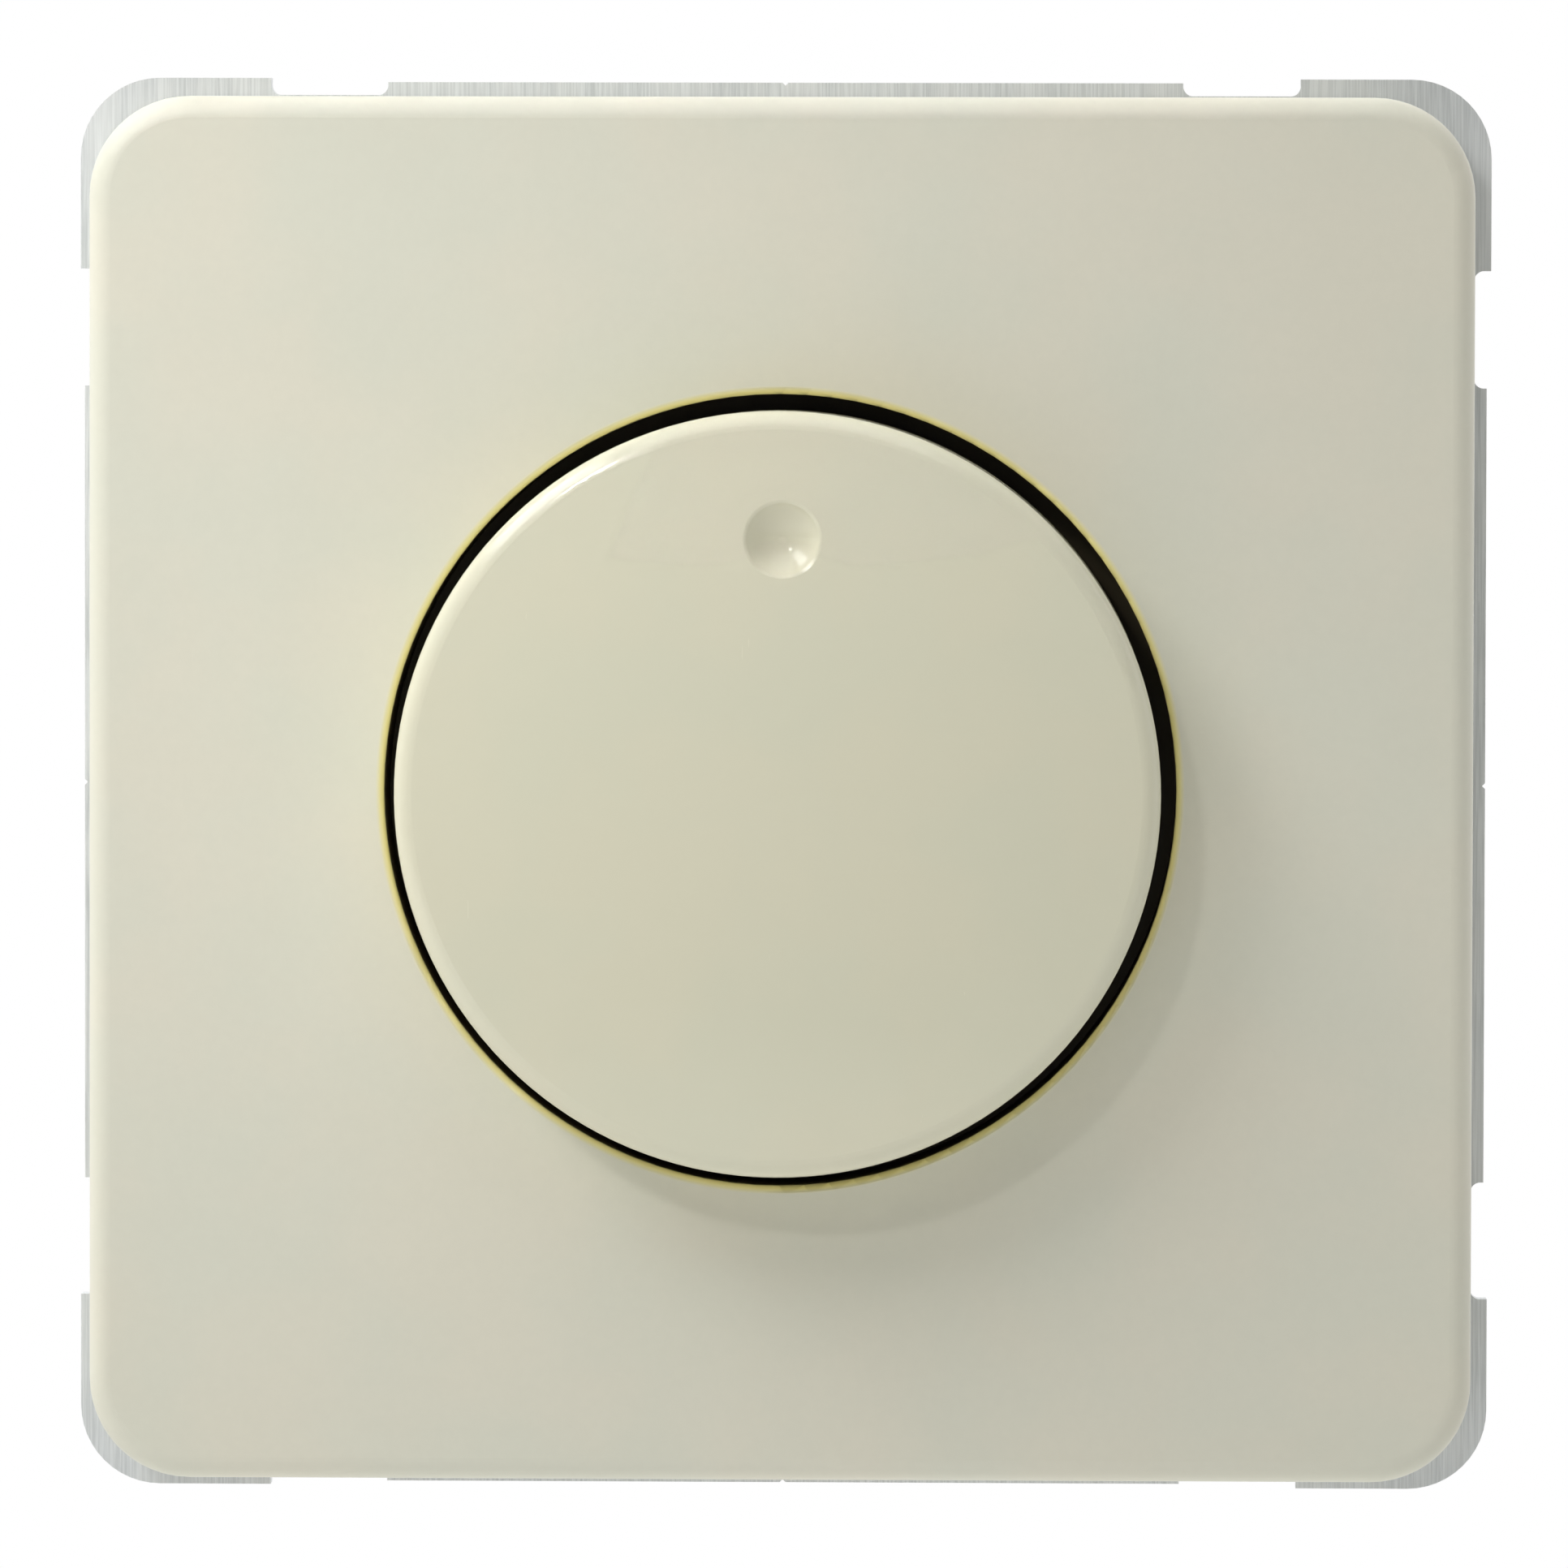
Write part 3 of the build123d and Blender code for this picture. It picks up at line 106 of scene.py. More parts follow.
# White backdrop: its strength from the front and from behind, and where the change between them starts
# and ends, as the Y part of a direction
FRONT_FILL = 0.13
BACKDROP_WHITE = 1.0
FADE_START = -0.5
FADE_END = 0.3

# Floor: half its width, and how far it lies below the part
FLOOR_HALF = 0.6
FLOOR_DROP = 90 * MM

# Most of a smooth noise lies between these two
NOISE_LOW = 0.3
NOISE_HIGH = 0.7

# Sockets of a Mix node that works on colours, which share their names with its other sockets
MIX_FIRST = 6
MIX_SECOND = 7
MIX_RESULT = 2

# The Scale at which a Wave texture has one wave per unit
WAVE_SCALE = 0.314


class Skin:
    """A material in the making: one Principled shader, and the pattern nodes that feed it."""

    def __init__(self, name, **sockets):
        self.material = bpy.data.materials.new(name)
        self.material.use_nodes = True
        self.tree = self.material.node_tree
        self.shader = self.tree.nodes["Principled BSDF"]
        self.place = self.add("ShaderNodeTexCoord").outputs["Object"]
        for socket, value in sockets.items():
            self.shader.inputs[socket.replace("_", " ")].default_value = value

    def add(self, kind, **settings):
        """A new node of this kind, with its settings."""
        made = self.tree.nodes.new(kind)
        for setting, value in settings.items():
            setattr(made, setting, value)
        return made

    def feed(self, socket, value):
        """Links a pattern to a socket, or sets a plain number or colour on it."""
        if isinstance(value, bpy.types.NodeSocket):
            self.tree.links.new(value, socket)
        elif isinstance(value, tuple) and len(value) == 3 and socket.type == "RGBA":
            socket.default_value = (*value, 1.0)
        else:
            socket.default_value = value

    def math(self, operation, *values):
        """The result of a Math node on these values, each a pattern or a number."""
        made = self.add("ShaderNodeMath", operation=operation)
        for socket, value in zip(made.inputs, values):
            self.feed(socket, value)
        return made.outputs[0]

    def axis(self, name):
        """One of the object's own coordinates, X, Y or Z, in metres."""
        split = self.add("ShaderNodeSeparateXYZ")
        self.feed(split.inputs[0], self.place)
        return split.outputs[name]

    def stretched(self, size, stretch, shift):
        """The object's coordinates in units of size, drawn out by stretch on each axis, and shifted."""
        mapping = self.add("ShaderNodeMapping")
        mapping.inputs["Location"].default_value = (shift, shift, shift)
        mapping.inputs["Scale"].default_value = [1 / (size * part) for part in stretch]
        self.feed(mapping.inputs["Vector"], self.place)
        return mapping.outputs[0]

    def noise(self, size, stretch=(1, 1, 1), detail=2.0, shift=0.0):
        """Smooth random values around 0.5, in blobs of this size. A shift gives another pattern."""
        cloud = self.add("ShaderNodeTexNoise")
        cloud.inputs["Scale"].default_value = 1.0
        cloud.inputs["Detail"].default_value = detail
        self.feed(cloud.inputs["Vector"], self.stretched(size, stretch, shift))
        return cloud.outputs[0]

    def cells(self, size, stretch=(1, 1, 1), shift=0.0):
        """Distance from scattered points, in cell widths, and a random colour for each point."""
        made = self.add("ShaderNodeTexVoronoi")
        made.inputs["Scale"].default_value = 1.0
        self.feed(made.inputs["Vector"], self.stretched(size, stretch, shift))
        return made.outputs["Distance"], made.outputs["Color"]

    def ramp(self, value, low, high, to_low=0.0, to_high=1.0):
        """A value that goes smoothly from to_low to to_high as the pattern goes from low to high."""
        made = self.add("ShaderNodeMapRange", interpolation_type="SMOOTHSTEP")
        for socket, number in zip(made.inputs, (value, low, high, to_low, to_high)):
            self.feed(socket, number)
        return made.outputs[0]

    def widened(self, pattern, to_low=0.0, to_high=1.0):
        """Smooth noise, stretched so that its usual values go from to_low to to_high."""
        return self.ramp(pattern, NOISE_LOW, NOISE_HIGH, to_low, to_high)

    def mix(self, share, first, second):
        """The first colour where share is 0, the second where it is 1."""
        made = self.add("ShaderNodeMix", data_type="RGBA")
        self.feed(made.inputs["Factor"], share)
        self.feed(made.inputs[MIX_FIRST], first)
        self.feed(made.inputs[MIX_SECOND], second)
        return made.outputs[MIX_RESULT]

    def specks(self, spacing, size, share, shift=0.0):
        """1 inside scattered round specks and 0 outside; share is how many of the cells hold one."""
        distance, colour = self.cells(spacing, shift=shift)
        split = self.add("ShaderNodeSeparateColor")
        self.feed(split.inputs[0], colour)
        chosen = self.math("LESS_THAN", split.outputs[0], share)
        inside = self.ramp(distance, 0.5 * size / spacing, 0.25 * size / spacing)
        return self.math("MULTIPLY", inside, chosen)

    def radius(self):
        """Distance from the knob's axis."""
        across = self.math("MULTIPLY", self.axis("X"), self.axis("X"))
        up = self.math("MULTIPLY", self.axis("Z"), self.axis("Z"))
        return self.math("SQRT", self.math("ADD", across, up))

    def surface(self, colour, roughness, height=None):
        """Finishes the material: height is in metres and becomes bump."""
        self.feed(self.shader.inputs["Base Color"], colour)
        self.feed(self.shader.inputs["Roughness"], roughness)
        if height is not None:
            bump = self.add("ShaderNodeBump")
            bump.inputs["Distance"].default_value = 1.0
            self.feed(bump.inputs["Height"], height)
            self.feed(self.shader.inputs["Normal"], bump.outputs[0])
        return self.material


def shade(colour, factor):
    """A colour made darker or lighter by a factor."""
    return tuple(min(1.0, part * factor) for part in colour)


def scaled(skin, pattern, depth):
    """A pattern as a height, depth being its height at 1."""
    return skin.math("MULTIPLY", pattern, depth)


def summed(skin, *heights):
    """Several heights on top of each other."""
    total = heights[0]
    for height in heights[1:]:
        total = skin.math("ADD", total, height)
    return total


def cream_plate():
    """Satin cream plastic, with dust and lint, a painted yellow glow along the well's rim and painted shade
    that turns the inside of the well dark brown.
    """
    skin = Skin("cream_plate", IOR=1.5)
    # Of the first two colours, the yellow one is a painted glow for the well's rim and the brown one is
    # painted shade for the inside of the well
    painted_rim_glow, painted_gap_shade = (0.95, 0.86, 0.38), (0.060, 0.044, 0.014)
    dust_brown, lint_white = (0.10, 0.08, 0.05), (0.9, 0.9, 0.88)
    warm, cool = (0.800, 0.772, 0.640), (0.770, 0.765, 0.640)
    colour = skin.mix(skin.ramp(skin.noise(11 * MM, detail=3), 0.35, 0.65), warm, cool)
    fine = skin.widened(skin.noise(0.5 * MM, shift=3), 0.0, 0.05)
    colour = skin.mix(fine, colour, shade(cool, 0.8))
    dust = skin.specks(9 * MM, 0.28 * MM, 0.30)
    colour = skin.mix(dust, colour, dust_brown)
    lint = skin.specks(12 * MM, 0.35 * MM, 0.25, shift=7)
    colour = skin.mix(skin.math("MULTIPLY", lint, 0.6), colour, lint_white)
    radius = skin.radius()
    # Painted light: the plate's colour turns bright yellow along the well's rim
    painted_rim_glow_mask = skin.ramp(radius, WELL_RADIUS + 0.45 * MM, WELL_RADIUS + 0.1 * MM)
    colour = skin.mix(painted_rim_glow_mask, colour, painted_rim_glow)
    # Painted shade: below the plate's face and inside the well the colour goes dark brown, for the shade in
    # the deep gap round the knob
    depth = skin.ramp(skin.axis("Y"), PLATE_FACE + 0.15 * MM, PLATE_FACE + 0.6 * MM)
    inside = skin.math("LESS_THAN", radius, WELL_RADIUS + 0.3 * MM)
    colour = skin.mix(skin.math("MULTIPLY", depth, inside), colour, painted_gap_shade)
    roughness = skin.widened(skin.noise(5 * MM, detail=4, shift=1), 0.36, 0.44)
    grain = scaled(skin, skin.noise(0.14 * MM, detail=1), 1.6 * MICRON)
    wave = scaled(skin, skin.noise(7 * MM, shift=5), 6 * MICRON)
    return skin.surface(colour, roughness, summed(skin, grain, wave))


def cream_knob():
    """Glossy cream plastic, with dust, fine scuffs and smudges."""
    skin = Skin("cream_knob", IOR=1.52)
    dust_brown = (0.08, 0.07, 0.05)
    warm, cool = (0.792, 0.764, 0.587), (0.772, 0.758, 0.587)
    colour = skin.mix(skin.ramp(skin.noise(9 * MM, detail=3, shift=2), 0.35, 0.65), warm, cool)
    dust = skin.specks(8 * MM, 0.25 * MM, 0.25, shift=4)
    colour = skin.mix(dust, colour, dust_brown)
    hair = skin.noise(0.25 * MM, stretch=(1, 1, 14), shift=6)
    scuffs = skin.ramp(hair, 0.70, 0.76, 0.0, 0.12)
    smudge = skin.ramp(skin.noise(4 * MM, detail=4, shift=1), 0.35, 0.7, 0.09, 0.17)
    wave = scaled(skin, skin.noise(5 * MM, shift=5), 3 * MICRON)
    peel = scaled(skin, skin.noise(0.8 * MM, shift=8), 0.25 * MICRON)
    return skin.surface(colour, skin.math("ADD", smudge, scuffs), summed(skin, wave, peel))


def galvanised_steel():
    """Rolled sheet steel under a pale zinc coat, with upright streaks, scratches and pits."""
    skin = Skin("galvanised_steel", Metallic=0.45)
    streak_grey, streak_light = (0.71, 0.74, 0.75), (0.91, 0.94, 0.95)
    cloud_grey, scratch_grey, pit_dark = (0.76, 0.77, 0.76), (0.46, 0.47, 0.48), (0.22, 0.22, 0.21)
    streaks = skin.noise(0.09 * MM, stretch=(1, 1, 45), detail=3)
    broad = skin.noise(1.4 * MM, stretch=(1, 1, 4), detail=3, shift=2)
    colour = skin.mix(skin.widened(streaks), streak_grey, streak_light)
    colour = skin.mix(skin.widened(broad, 0.0, 0.5), colour, cloud_grey)
    scratch = skin.noise(0.12 * MM, stretch=(1, 1, 60), shift=9)
    mark = skin.ramp(scratch, 0.72, 0.78, 0.0, 0.6)
    colour = skin.mix(mark, colour, scratch_grey)
    pits = skin.specks(2.5 * MM, 0.14 * MM, 0.35, shift=3)
    colour = skin.mix(pits, colour, pit_dark)
    roughness = skin.widened(broad, 0.34, 0.48)
    height = summed(skin, scaled(skin, streaks, 3 * MICRON), scaled(skin, mark, -3 * MICRON))
    return skin.surface(colour, roughness, height)


def moulded(name, colour, roughness=0.5, grain=0.2, depth=5, mottle=0.06, **sockets):
    """Moulded plastic: grain is the size of its surface texture in millimetres, depth in microns."""
    skin = Skin(name, IOR=1.5, **sockets)
    clouds = skin.widened(skin.noise(6 * MM, detail=4))
    tinted = skin.mix(clouds, shade(colour, 1 - mottle), shade(colour, 1 + mottle))
    dust = skin.specks(5 * MM, 0.16 * MM, 0.3, shift=4)
    tinted = skin.mix(skin.math("MULTIPLY", dust, 0.5), tinted, (0.5, 0.49, 0.46))
    wear = skin.widened(skin.noise(2.5 * MM, detail=5, shift=2), roughness - 0.05, roughness + 0.06)
    fine = scaled(skin, skin.noise(grain * MM, detail=2, shift=1), depth * MICRON)
    flow = scaled(skin, skin.noise(5 * MM, stretch=(1, 2, 1), shift=6), 6 * MICRON)
    return skin.surface(tinted, wear, summed(skin, fine, flow))


def plated(name, colour, tint, roughness=0.3, stretch=(1, 1, 1), grain=0.1, depth=1.5):
    """Plated or bare metal: stretch draws its grain out along one axis, tint is its tarnish."""
    skin = Skin(name, Metallic=1.0)
    lines = skin.noise(grain * MM, stretch=stretch, detail=3)
    stain = skin.ramp(skin.noise(3 * MM, detail=4, shift=3), 0.45, 0.75, 0.0, 0.7)
    tinted = skin.mix(skin.ramp(lines, 0.25, 0.75), shade(colour, 0.85), shade(colour, 1.08))
    tinted = skin.mix(stain, tinted, tint)
    dull = skin.widened(skin.noise(1.2 * MM, detail=4, shift=5), roughness - 0.07, roughness + 0.1)
    return skin.surface(tinted, dull, scaled(skin, lines, depth * MICRON))


def turned_metal(name, colour, pitch):
    """Metal turned on a lathe about the knob's axis, with fine tool rings along it."""
    skin = Skin(name, Metallic=1.0)
    rings = skin.add("ShaderNodeTexWave", bands_direction="Y")
    rings.inputs["Scale"].default_value = WAVE_SCALE
    rings.inputs["Distortion"].default_value = 0.6
    skin.feed(rings.inputs["Vector"], skin.stretched(pitch, (1, 1, 1), 0))
    streak = skin.noise(0.3 * MM, stretch=(8, 0.3, 8), detail=3)
    tinted = skin.mix(skin.widened(streak), shade(colour, 0.86), shade(colour, 1.05))
    dull = skin.widened(streak, 0.22, 0.36)
    return skin.surface(tinted, dull, scaled(skin, rings.outputs["Fac"], 2 * MICRON))


def board():
    """Green solder mask over a glass weave, with raised copper tracks beneath it."""
    skin = Skin("board_laminate", IOR=1.5)
    tracks = skin.add("ShaderNodeTexBrick")
    tracks.inputs["Scale"].default_value = 1.0
    tracks.inputs["Mortar Size"].default_value = 0.12
    tracks.inputs["Color1"].default_value = (0, 0, 0, 1)
    tracks.inputs["Color2"].default_value = (0, 0, 0, 1)
    tracks.inputs["Mortar"].default_value = (1, 1, 1, 1)
    lay = skin.add("ShaderNodeCombineXYZ")
    skin.feed(lay.inputs[0], scaled(skin, skin.axis("X"), 1 / (7 * MM)))
    skin.feed(lay.inputs[1], scaled(skin, skin.axis("Z"), 1 / (9 * MM)))
    skin.feed(tracks.inputs["Vector"], lay.outputs[0])
    weave = skin.noise(0.35 * MM, stretch=(1, 1, 5), detail=1)
    colour = skin.mix(skin.widened(weave), (0.018, 0.13, 0.045), (0.028, 0.18, 0.065))
    colour = skin.mix(tracks.outputs["Color"], colour, (0.045, 0.27, 0.08))
    copper = scaled(skin, tracks.outputs["Fac"], 30 * MICRON)
    roughness = skin.widened(skin.noise(3 * MM, detail=3), 0.28, 0.42)
    return skin.surface(colour, roughness, summed(skin, copper, scaled(skin, weave, 4 * MICRON)))


def carbon_track():
    """Printed carbon, its roughness in rings where the wiper runs."""
    skin = Skin("resistive_carbon", IOR=1.6)
    radius = skin.radius()
    rings = skin.math("SINE", skin.math("MULTIPLY", radius, 2 * pi / (0.25 * MM)))
    grains = skin.noise(0.08 * MM, detail=3)
    colour = skin.mix(skin.ramp(grains, 0.35, 0.7), (0.012, 0.012, 0.013), (0.035, 0.034, 0.033))
    roughness = skin.ramp(rings, -1, 1, 0.35, 0.6)
    return skin.surface(colour, roughness, scaled(skin, grains, 3 * MICRON))


def laminate():
    """Brown phenolic paper board, layered and fibrous."""
    skin = Skin("phenolic_wafer", IOR=1.55)
    fibres = skin.noise(0.4 * MM, stretch=(6, 1, 1), detail=4)
    layers = skin.noise(0.1 * MM, stretch=(60, 1, 60), detail=1, shift=2)
    colour = skin.mix(skin.widened(fibres), (0.20, 0.085, 0.03), (0.36, 0.17, 0.07))
    colour = skin.mix(skin.ramp(layers, 0.5, 0.7, 0.0, 0.35), colour, (0.13, 0.055, 0.02))
    roughness = skin.widened(fibres, 0.38, 0.55)
    return skin.surface(colour, roughness, scaled(skin, fibres, 4 * MICRON))


def mica():
    """Silvery mica in flakes of uneven tint and gloss."""
    skin = Skin("mica_pad", IOR=1.58)
    flakes, tints = skin.cells(1.1 * MM, stretch=(1, 0.2, 1.3))
    split = skin.add("ShaderNodeSeparateColor")
    skin.feed(split.inputs[0], tints)
    colour = skin.mix(split.outputs[0], (0.42, 0.42, 0.45), (0.62, 0.61, 0.60))
    roughness = skin.ramp(split.outputs[1], 0, 1, 0.18, 0.5)
    return skin.surface(colour, roughness, scaled(skin, flakes, 6 * MICRON))


def ferrite():
    """Iron powder core under thick yellow paint, which is chipped off here and there."""
    skin = Skin("ferrite", IOR=1.5, Coat_Weight=0.3)
    lumps = skin.noise(0.5 * MM, detail=4)
    colour = skin.mix(skin.ramp(lumps, 0.35, 0.7), (0.66, 0.55, 0.08), (0.80, 0.70, 0.14))
    chips = skin.ramp(skin.noise(1.4 * MM, detail=5, shift=4), 0.66, 0.70)
    colour = skin.mix(chips, colour, (0.10, 0.095, 0.09))
    roughness = skin.widened(lumps, 0.32, 0.5)
    height = summed(skin, scaled(skin, lumps, 25 * MICRON), scaled(skin, chips, -20 * MICRON))
    return skin.surface(colour, roughness, height)


def enamelled_wire():
    """Copper wire under a clear glossy enamel."""
    skin = Skin("enamelled_copper", Metallic=1.0, Coat_Weight=0.8, Coat_Roughness=0.08)
    runs = skin.noise(0.25 * MM, stretch=(3, 1, 1), detail=3)
    colour = skin.mix(skin.widened(runs), (0.50, 0.15, 0.045), (0.78, 0.30, 0.10))
    roughness = skin.widened(skin.noise(1 * MM, detail=3, shift=2), 0.22, 0.4)
    return skin.surface(colour, roughness, scaled(skin, runs, 3 * MICRON))


def banded(name, body, bands, node, axis, roughness=0.35):
    """A lacquered part with bands across it: (start, end, colour), start and end as shares of its length."""
    skin = Skin(name, IOR=1.5, Coat_Weight=0.5, Coat_Roughness=0.12)
    low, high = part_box(node)
    start = getattr(low, axis.lower())
    length = getattr(high, axis.lower()) - start
    along = skin.math("DIVIDE", skin.math("SUBTRACT", skin.axis(axis), start), length)
    cloud = skin.widened(skin.noise(0.8 * MM, detail=4))
    colour = skin.mix(cloud, shade(body, 0.9), shade(body, 1.06))
    for first, last, tint in bands:
        inside = skin.math("MULTIPLY", skin.math("GREATER_THAN", along, first),
                           skin.math("LESS_THAN", along, last))
        colour = skin.mix(inside, colour, tint)
    uneven = skin.ramp(cloud, 0, 1, roughness - 0.08, roughness + 0.08)
    return skin.surface(colour, uneven, scaled(skin, cloud, 8 * MICRON))


def glass():
    """Clear glass under a faint dull film."""
    skin = Skin("fuse_tube_glass", IOR=1.5, Transmission_Weight=1.0)
    film = skin.noise(2 * MM, stretch=(1, 1, 3), detail=4)
    colour = skin.mix(skin.widened(film), (0.93, 0.96, 0.95), (0.99, 1.0, 1.0))
    roughness = skin.ramp(film, 0.4, 0.7, 0.02, 0.12)
    return skin.surface(colour, roughness, scaled(skin, film, 3 * MICRON))


# Coloured bands: brown, black, orange and gold on the resistors, one on the capacitor and on the diac
BANDS = [
    (0.20, 0.28, (0.30, 0.10, 0.03)),
    (0.36, 0.44, (0.02, 0.02, 0.02)),
    (0.52, 0.60, (0.75, 0.35, 0.03)),
    (0.74, 0.80, (0.62, 0.45, 0.12)),
]
SLEEVE_STRIPE = [(0.08, 0.24, (0.50, 0.52, 0.56))]
DIAC_RING = [(0.42, 0.58, (0.03, 0.03, 0.04))]

# Tarnish colours, and grain drawn out upwards or from front to back
BLUISH = (0.52, 0.58, 0.66)
STRAW = (0.60, 0.56, 0.44)
UP_GRAIN = (1, 1, 30)
OUT_GRAIN = (1, 30, 1)

MATERIALS = {
    "galvanised_steel": galvanised_steel(),
    "cream_plate": cream_plate(),
    "cream_knob": cream_knob(),
    "zinc_steel": plated("zinc_steel", (0.66, 0.67, 0.68), BLUISH, 0.30, grain=0.25),
    "spring_steel": plated("spring_steel", (0.34, 0.34, 0.35), STRAW, 0.32, stretch=UP_GRAIN),
    "turned_aluminium": turned_metal("turned_aluminium", (0.78, 0.79, 0.80), 0.12 * MM),
    "die_cast_zinc": plated("die_cast_zinc", (0.50, 0.50, 0.50), STRAW, 0.45, grain=0.3, depth=10),
    "pot_shell_plastic": moulded("pot_shell_plastic", (0.025, 0.055, 0.17), 0.48),
    "rotor_plastic": moulded("rotor_plastic", (0.74, 0.73, 0.69), 0.42, mottle=0.03),
    "contact_brass": plated("contact_brass", (0.76, 0.57, 0.24), (0.45, 0.27, 0.10), 0.28,
                            stretch=UP_GRAIN),
    "phenolic_wafer": laminate(),
    "resistive_carbon": carbon_track(),
    "tinned_copper": plated("tinned_copper", (0.78, 0.77, 0.74), (0.55, 0.54, 0.50), 0.26,
                            stretch=OUT_GRAIN),
    "sheet_aluminium": plated("sheet_aluminium", (0.80, 0.81, 0.82), (0.62, 0.62, 0.62), 0.34,
                              stretch=UP_GRAIN),
    "mica_pad": mica(),
    "nickel_tab": plated("nickel_tab", (0.66, 0.64, 0.60), STRAW, 0.24, stretch=UP_GRAIN),
    "epoxy_black": moulded("epoxy_black", (0.018, 0.018, 0.019), 0.62, grain=0.12, depth=8),
    "board_laminate": board(),
    "ferrite": ferrite(),
    "enamelled_copper": enamelled_wire(),
    "capacitor_yellow": moulded("capacitor_yellow", (0.78, 0.54, 0.06), 0.28, grain=0.5, depth=3),
    "capacitor_sleeve": banded("capacitor_sleeve", (0.02, 0.03, 0.08), SLEEVE_STRIPE,
                               "smoothing_capacitor", "X"),
    "resistor_lacquer": banded("resistor_lacquer", (0.62, 0.49, 0.30), BANDS, "resistors", "Z"),
    "diac_glass": banded("diac_glass", (0.55, 0.16, 0.04), DIAC_RING, "diac", "Z"),
    "trimmer_blue": moulded("trimmer_blue", (0.02, 0.12, 0.45), 0.4),
    "trimmer_white": moulded("trimmer_white", (0.80, 0.80, 0.77), 0.4, mottle=0.03),
    "fuse_tube_glass": glass(),
    "switch_black": moulded("switch_black", (0.030, 0.030, 0.032), 0.5),
    "plunger_white": moulded("plunger_white", (0.80, 0.80, 0.76), 0.38, mottle=0.03),
    "terminal_plastic": moulded("terminal_plastic", (0.24, 0.25, 0.26), 0.5, depth=8),
    "clamp_brass": plated("clamp_brass", (0.74, 0.70, 0.58), (0.55, 0.42, 0.22), 0.3, stretch=OUT_GRAIN),
    "housing_plastic": moulded("housing_plastic", (0.050, 0.050, 0.055), 0.52, grain=0.22, depth=12),
    "cover_plastic": moulded("cover_plastic", (0.060, 0.060, 0.066), 0.50, grain=0.22, depth=12),
}


def dress_nodes():
    """Gives each CAD node the material of its slot in the record."""
    for entry in frame["record"]["subparts"]:
        for place in frame["nodes"][entry["node"]].material_slots:
            place.material = MATERIALS[entry["material_slot"]]


def add_spring():
    """The push switch's return spring as a coil of its own, in place of the CAD spring."""
    low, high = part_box("switch_spring")
    coil = high.x - SPRING_WIRE
    back = high.y - SPRING_WIRE
    front = low.y + SPRING_WIRE
    points, faces = [], []
    for ring in range(SPRING_RINGS + 1):
        share = ring / SPRING_RINGS
        turn = 2 * pi * SPRING_TURNS * share
        middle = back + (front - back) * share
        for side in range(SPRING_SIDES):
            around = 2 * pi * side / SPRING_SIDES
            out = coil + SPRING_WIRE * cos(around)
            points.append((out * cos(turn), middle + SPRING_WIRE * sin(around), out * sin(turn)))
    for near in range(0, SPRING_RINGS * SPRING_SIDES, SPRING_SIDES):
        far = near + SPRING_SIDES
        for side in range(SPRING_SIDES):
            after = (side + 1) % SPRING_SIDES
            faces.append((near + side, near + after, far + after, far + side))
    last = SPRING_RINGS * SPRING_SIDES
    faces.append(tuple(reversed(range(SPRING_SIDES))))
    faces.append(tuple(range(last, last + SPRING_SIDES)))
    mesh = bpy.data.meshes.new("return_spring")
    mesh.from_pydata(points, [], faces)
    mesh.materials.append(MATERIALS["spring_steel"])
    for face in mesh.polygons:
        face.use_smooth = len(face.vertices) == 4
    spring = bpy.data.objects.new("return_spring", mesh)
    bpy.context.scene.collection.objects.link(spring)
    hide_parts("switch_spring")
    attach(spring, "root")
    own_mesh(spring)


def add_camera():
    """The camera of the photo, looking at the middle of the frame's face with its up near +Z."""
    data = bpy.data.cameras.new("camera")
    data.sensor_width = SENSOR
    camera = bpy.data.objects.new("camera", data)
    bpy.context.scene.collection.objects.link(camera)
    target = Vector((0, FRAME_FACE, 0))
    level = Vector((sin(CAMERA_RIGHT), -cos(CAMERA_RIGHT), 0))
    place = target + CAMERA_DISTANCE * (cos(CAMERA_UP) * level + Vector((0, 0, sin(CAMERA_UP))))
    data.lens = SENSOR * CAMERA_DISTANCE / PICTURE_WIDTH
    data.clip_start = CAMERA_NEAREST
    data.clip_end = CAMERA_FARTHEST
    turn = (target - place).to_track_quat("-Z", "Y").to_matrix().to_4x4()
    camera.matrix_world = Matrix.Translation(place) @ turn @ Matrix.Rotation(CAMERA_ROLL, 4, "Z")
    bpy.context.scene.camera = camera


def add_light(name, around, off_axis, distance, width, height, power,
              spread=180, aim_right=0, aim_up=0):
    """A rectangular area light, as LIGHTS describes it."""
    data = bpy.data.lights.new(name, "AREA")
    data.shape = "RECTANGLE"
    data.size = width
    data.size_y = height
    data.spread = radians(spread)
    data.energy = power
    light = bpy.data.objects.new(name, data)
    bpy.context.scene.collection.objects.link(light)
    around, off_axis = radians(around), radians(off_axis)
    place = distance * Vector((sin(off_axis) * cos(around), -cos(off_axis), sin(off_axis) * sin(around)))
    back = (place - Vector((aim_right * MM, 0, aim_up * MM))).normalized()
    across = Vector((-sin(around), 0, cos(around)))
    along = back.cross(across).normalized()
    turn = Matrix((along.cross(back), along, back)).transposed().to_4x4()
    light.matrix_world = Matrix.Translation(Vector((0, PLATE_FACE, 0)) + place) @ turn


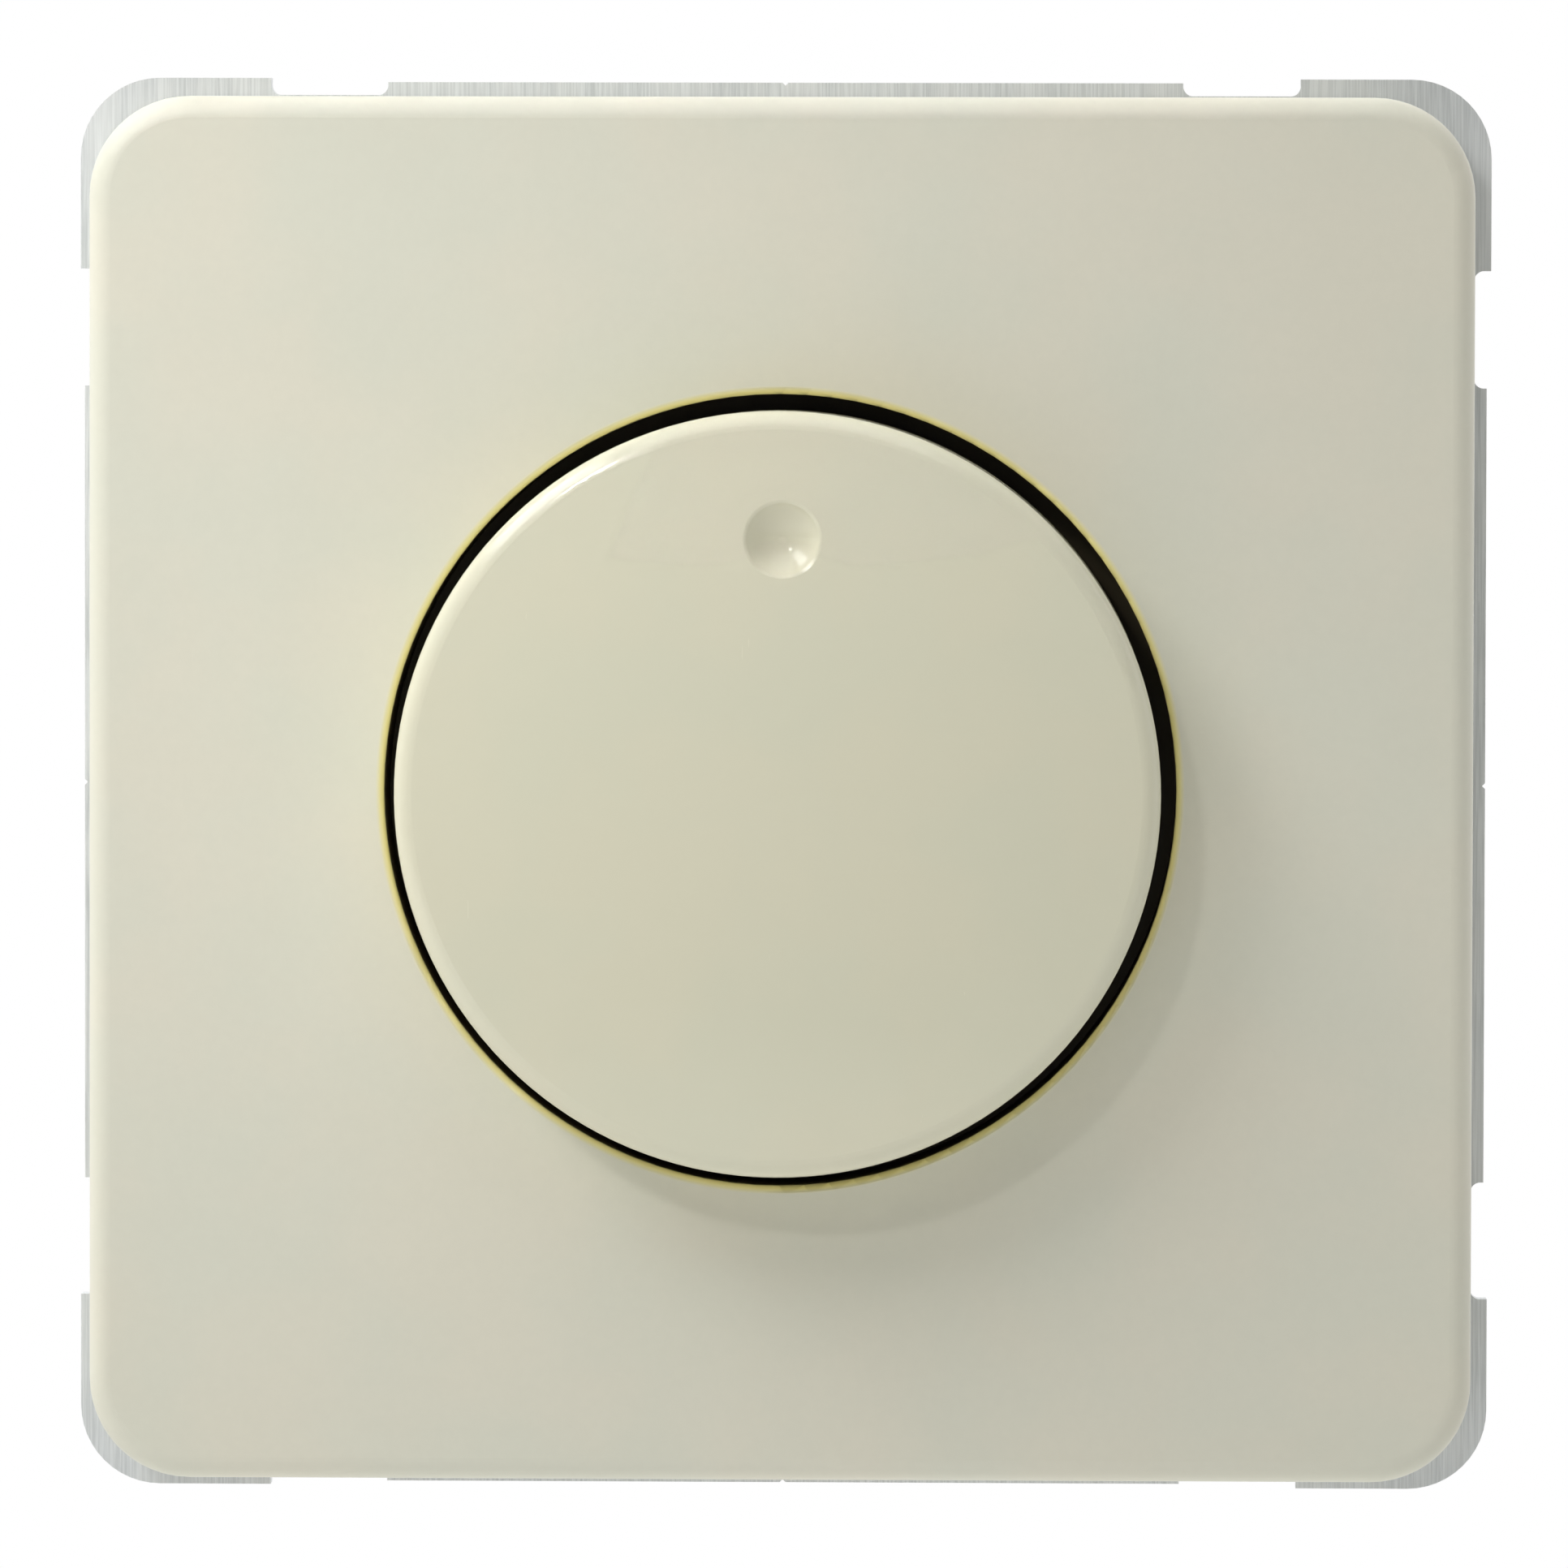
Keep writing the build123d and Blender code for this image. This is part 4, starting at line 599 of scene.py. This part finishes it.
def add_world():
    """The camera sees plain white. The part is lit by a white backdrop that is dimmer towards the front."""
    world = bpy.data.worlds.new("studio")
    bpy.context.scene.world = world
    world.use_nodes = True
    tree = world.node_tree
    seen = tree.nodes["Background"]
    seen.inputs["Color"].default_value = (1, 1, 1, 1)
    lighting = tree.nodes.new("ShaderNodeBackground")
    lighting.inputs["Color"].default_value = (1, 1, 1, 1)
    place = tree.nodes.new("ShaderNodeTexCoord")
    split = tree.nodes.new("ShaderNodeSeparateXYZ")
    tree.links.new(place.outputs["Generated"], split.inputs[0])
    fade = tree.nodes.new("ShaderNodeMapRange")
    fade.interpolation_type = "SMOOTHSTEP"
    fade.inputs["From Min"].default_value = FADE_START
    fade.inputs["From Max"].default_value = FADE_END
    fade.inputs["To Min"].default_value = FRONT_FILL
    fade.inputs["To Max"].default_value = BACKDROP_WHITE
    tree.links.new(split.outputs["Y"], fade.inputs["Value"])
    tree.links.new(fade.outputs[0], lighting.inputs["Strength"])
    path = tree.nodes.new("ShaderNodeLightPath")
    both = tree.nodes.new("ShaderNodeMixShader")
    tree.links.new(path.outputs["Is Camera Ray"], both.inputs[0])
    tree.links.new(lighting.outputs[0], both.inputs[1])
    tree.links.new(seen.outputs[0], both.inputs[2])
    tree.links.new(both.outputs[0], tree.nodes["World Output"].inputs["Surface"])


def add_floor():
    """A plain pale floor, well below the part."""
    level = cad_bounds[0].z - FLOOR_DROP
    near, far = -FLOOR_HALF, FLOOR_HALF
    corners = [(near, near), (far, near), (far, far), (near, far)]
    mesh = bpy.data.meshes.new("floor")
    mesh.from_pydata([(x, y, level) for x, y in corners], [], [(0, 1, 2, 3)])
    floor = bpy.data.objects.new("floor", mesh)
    bpy.context.scene.collection.objects.link(floor)
    skin = Skin("pale_floor")
    cloud = skin.widened(skin.noise(80 * MM, detail=4))
    mesh.materials.append(skin.surface(skin.mix(cloud, (0.80, 0.80, 0.79), (0.84, 0.84, 0.83)), 0.7))


dress_nodes()
add_spring()
add_camera()
for light_name, light_facts in LIGHTS.items():
    add_light(light_name, **light_facts)
add_world()
add_floor()
bpy.context.scene.view_settings.view_transform = "Standard"
bpy.context.scene.view_settings.look = "None"
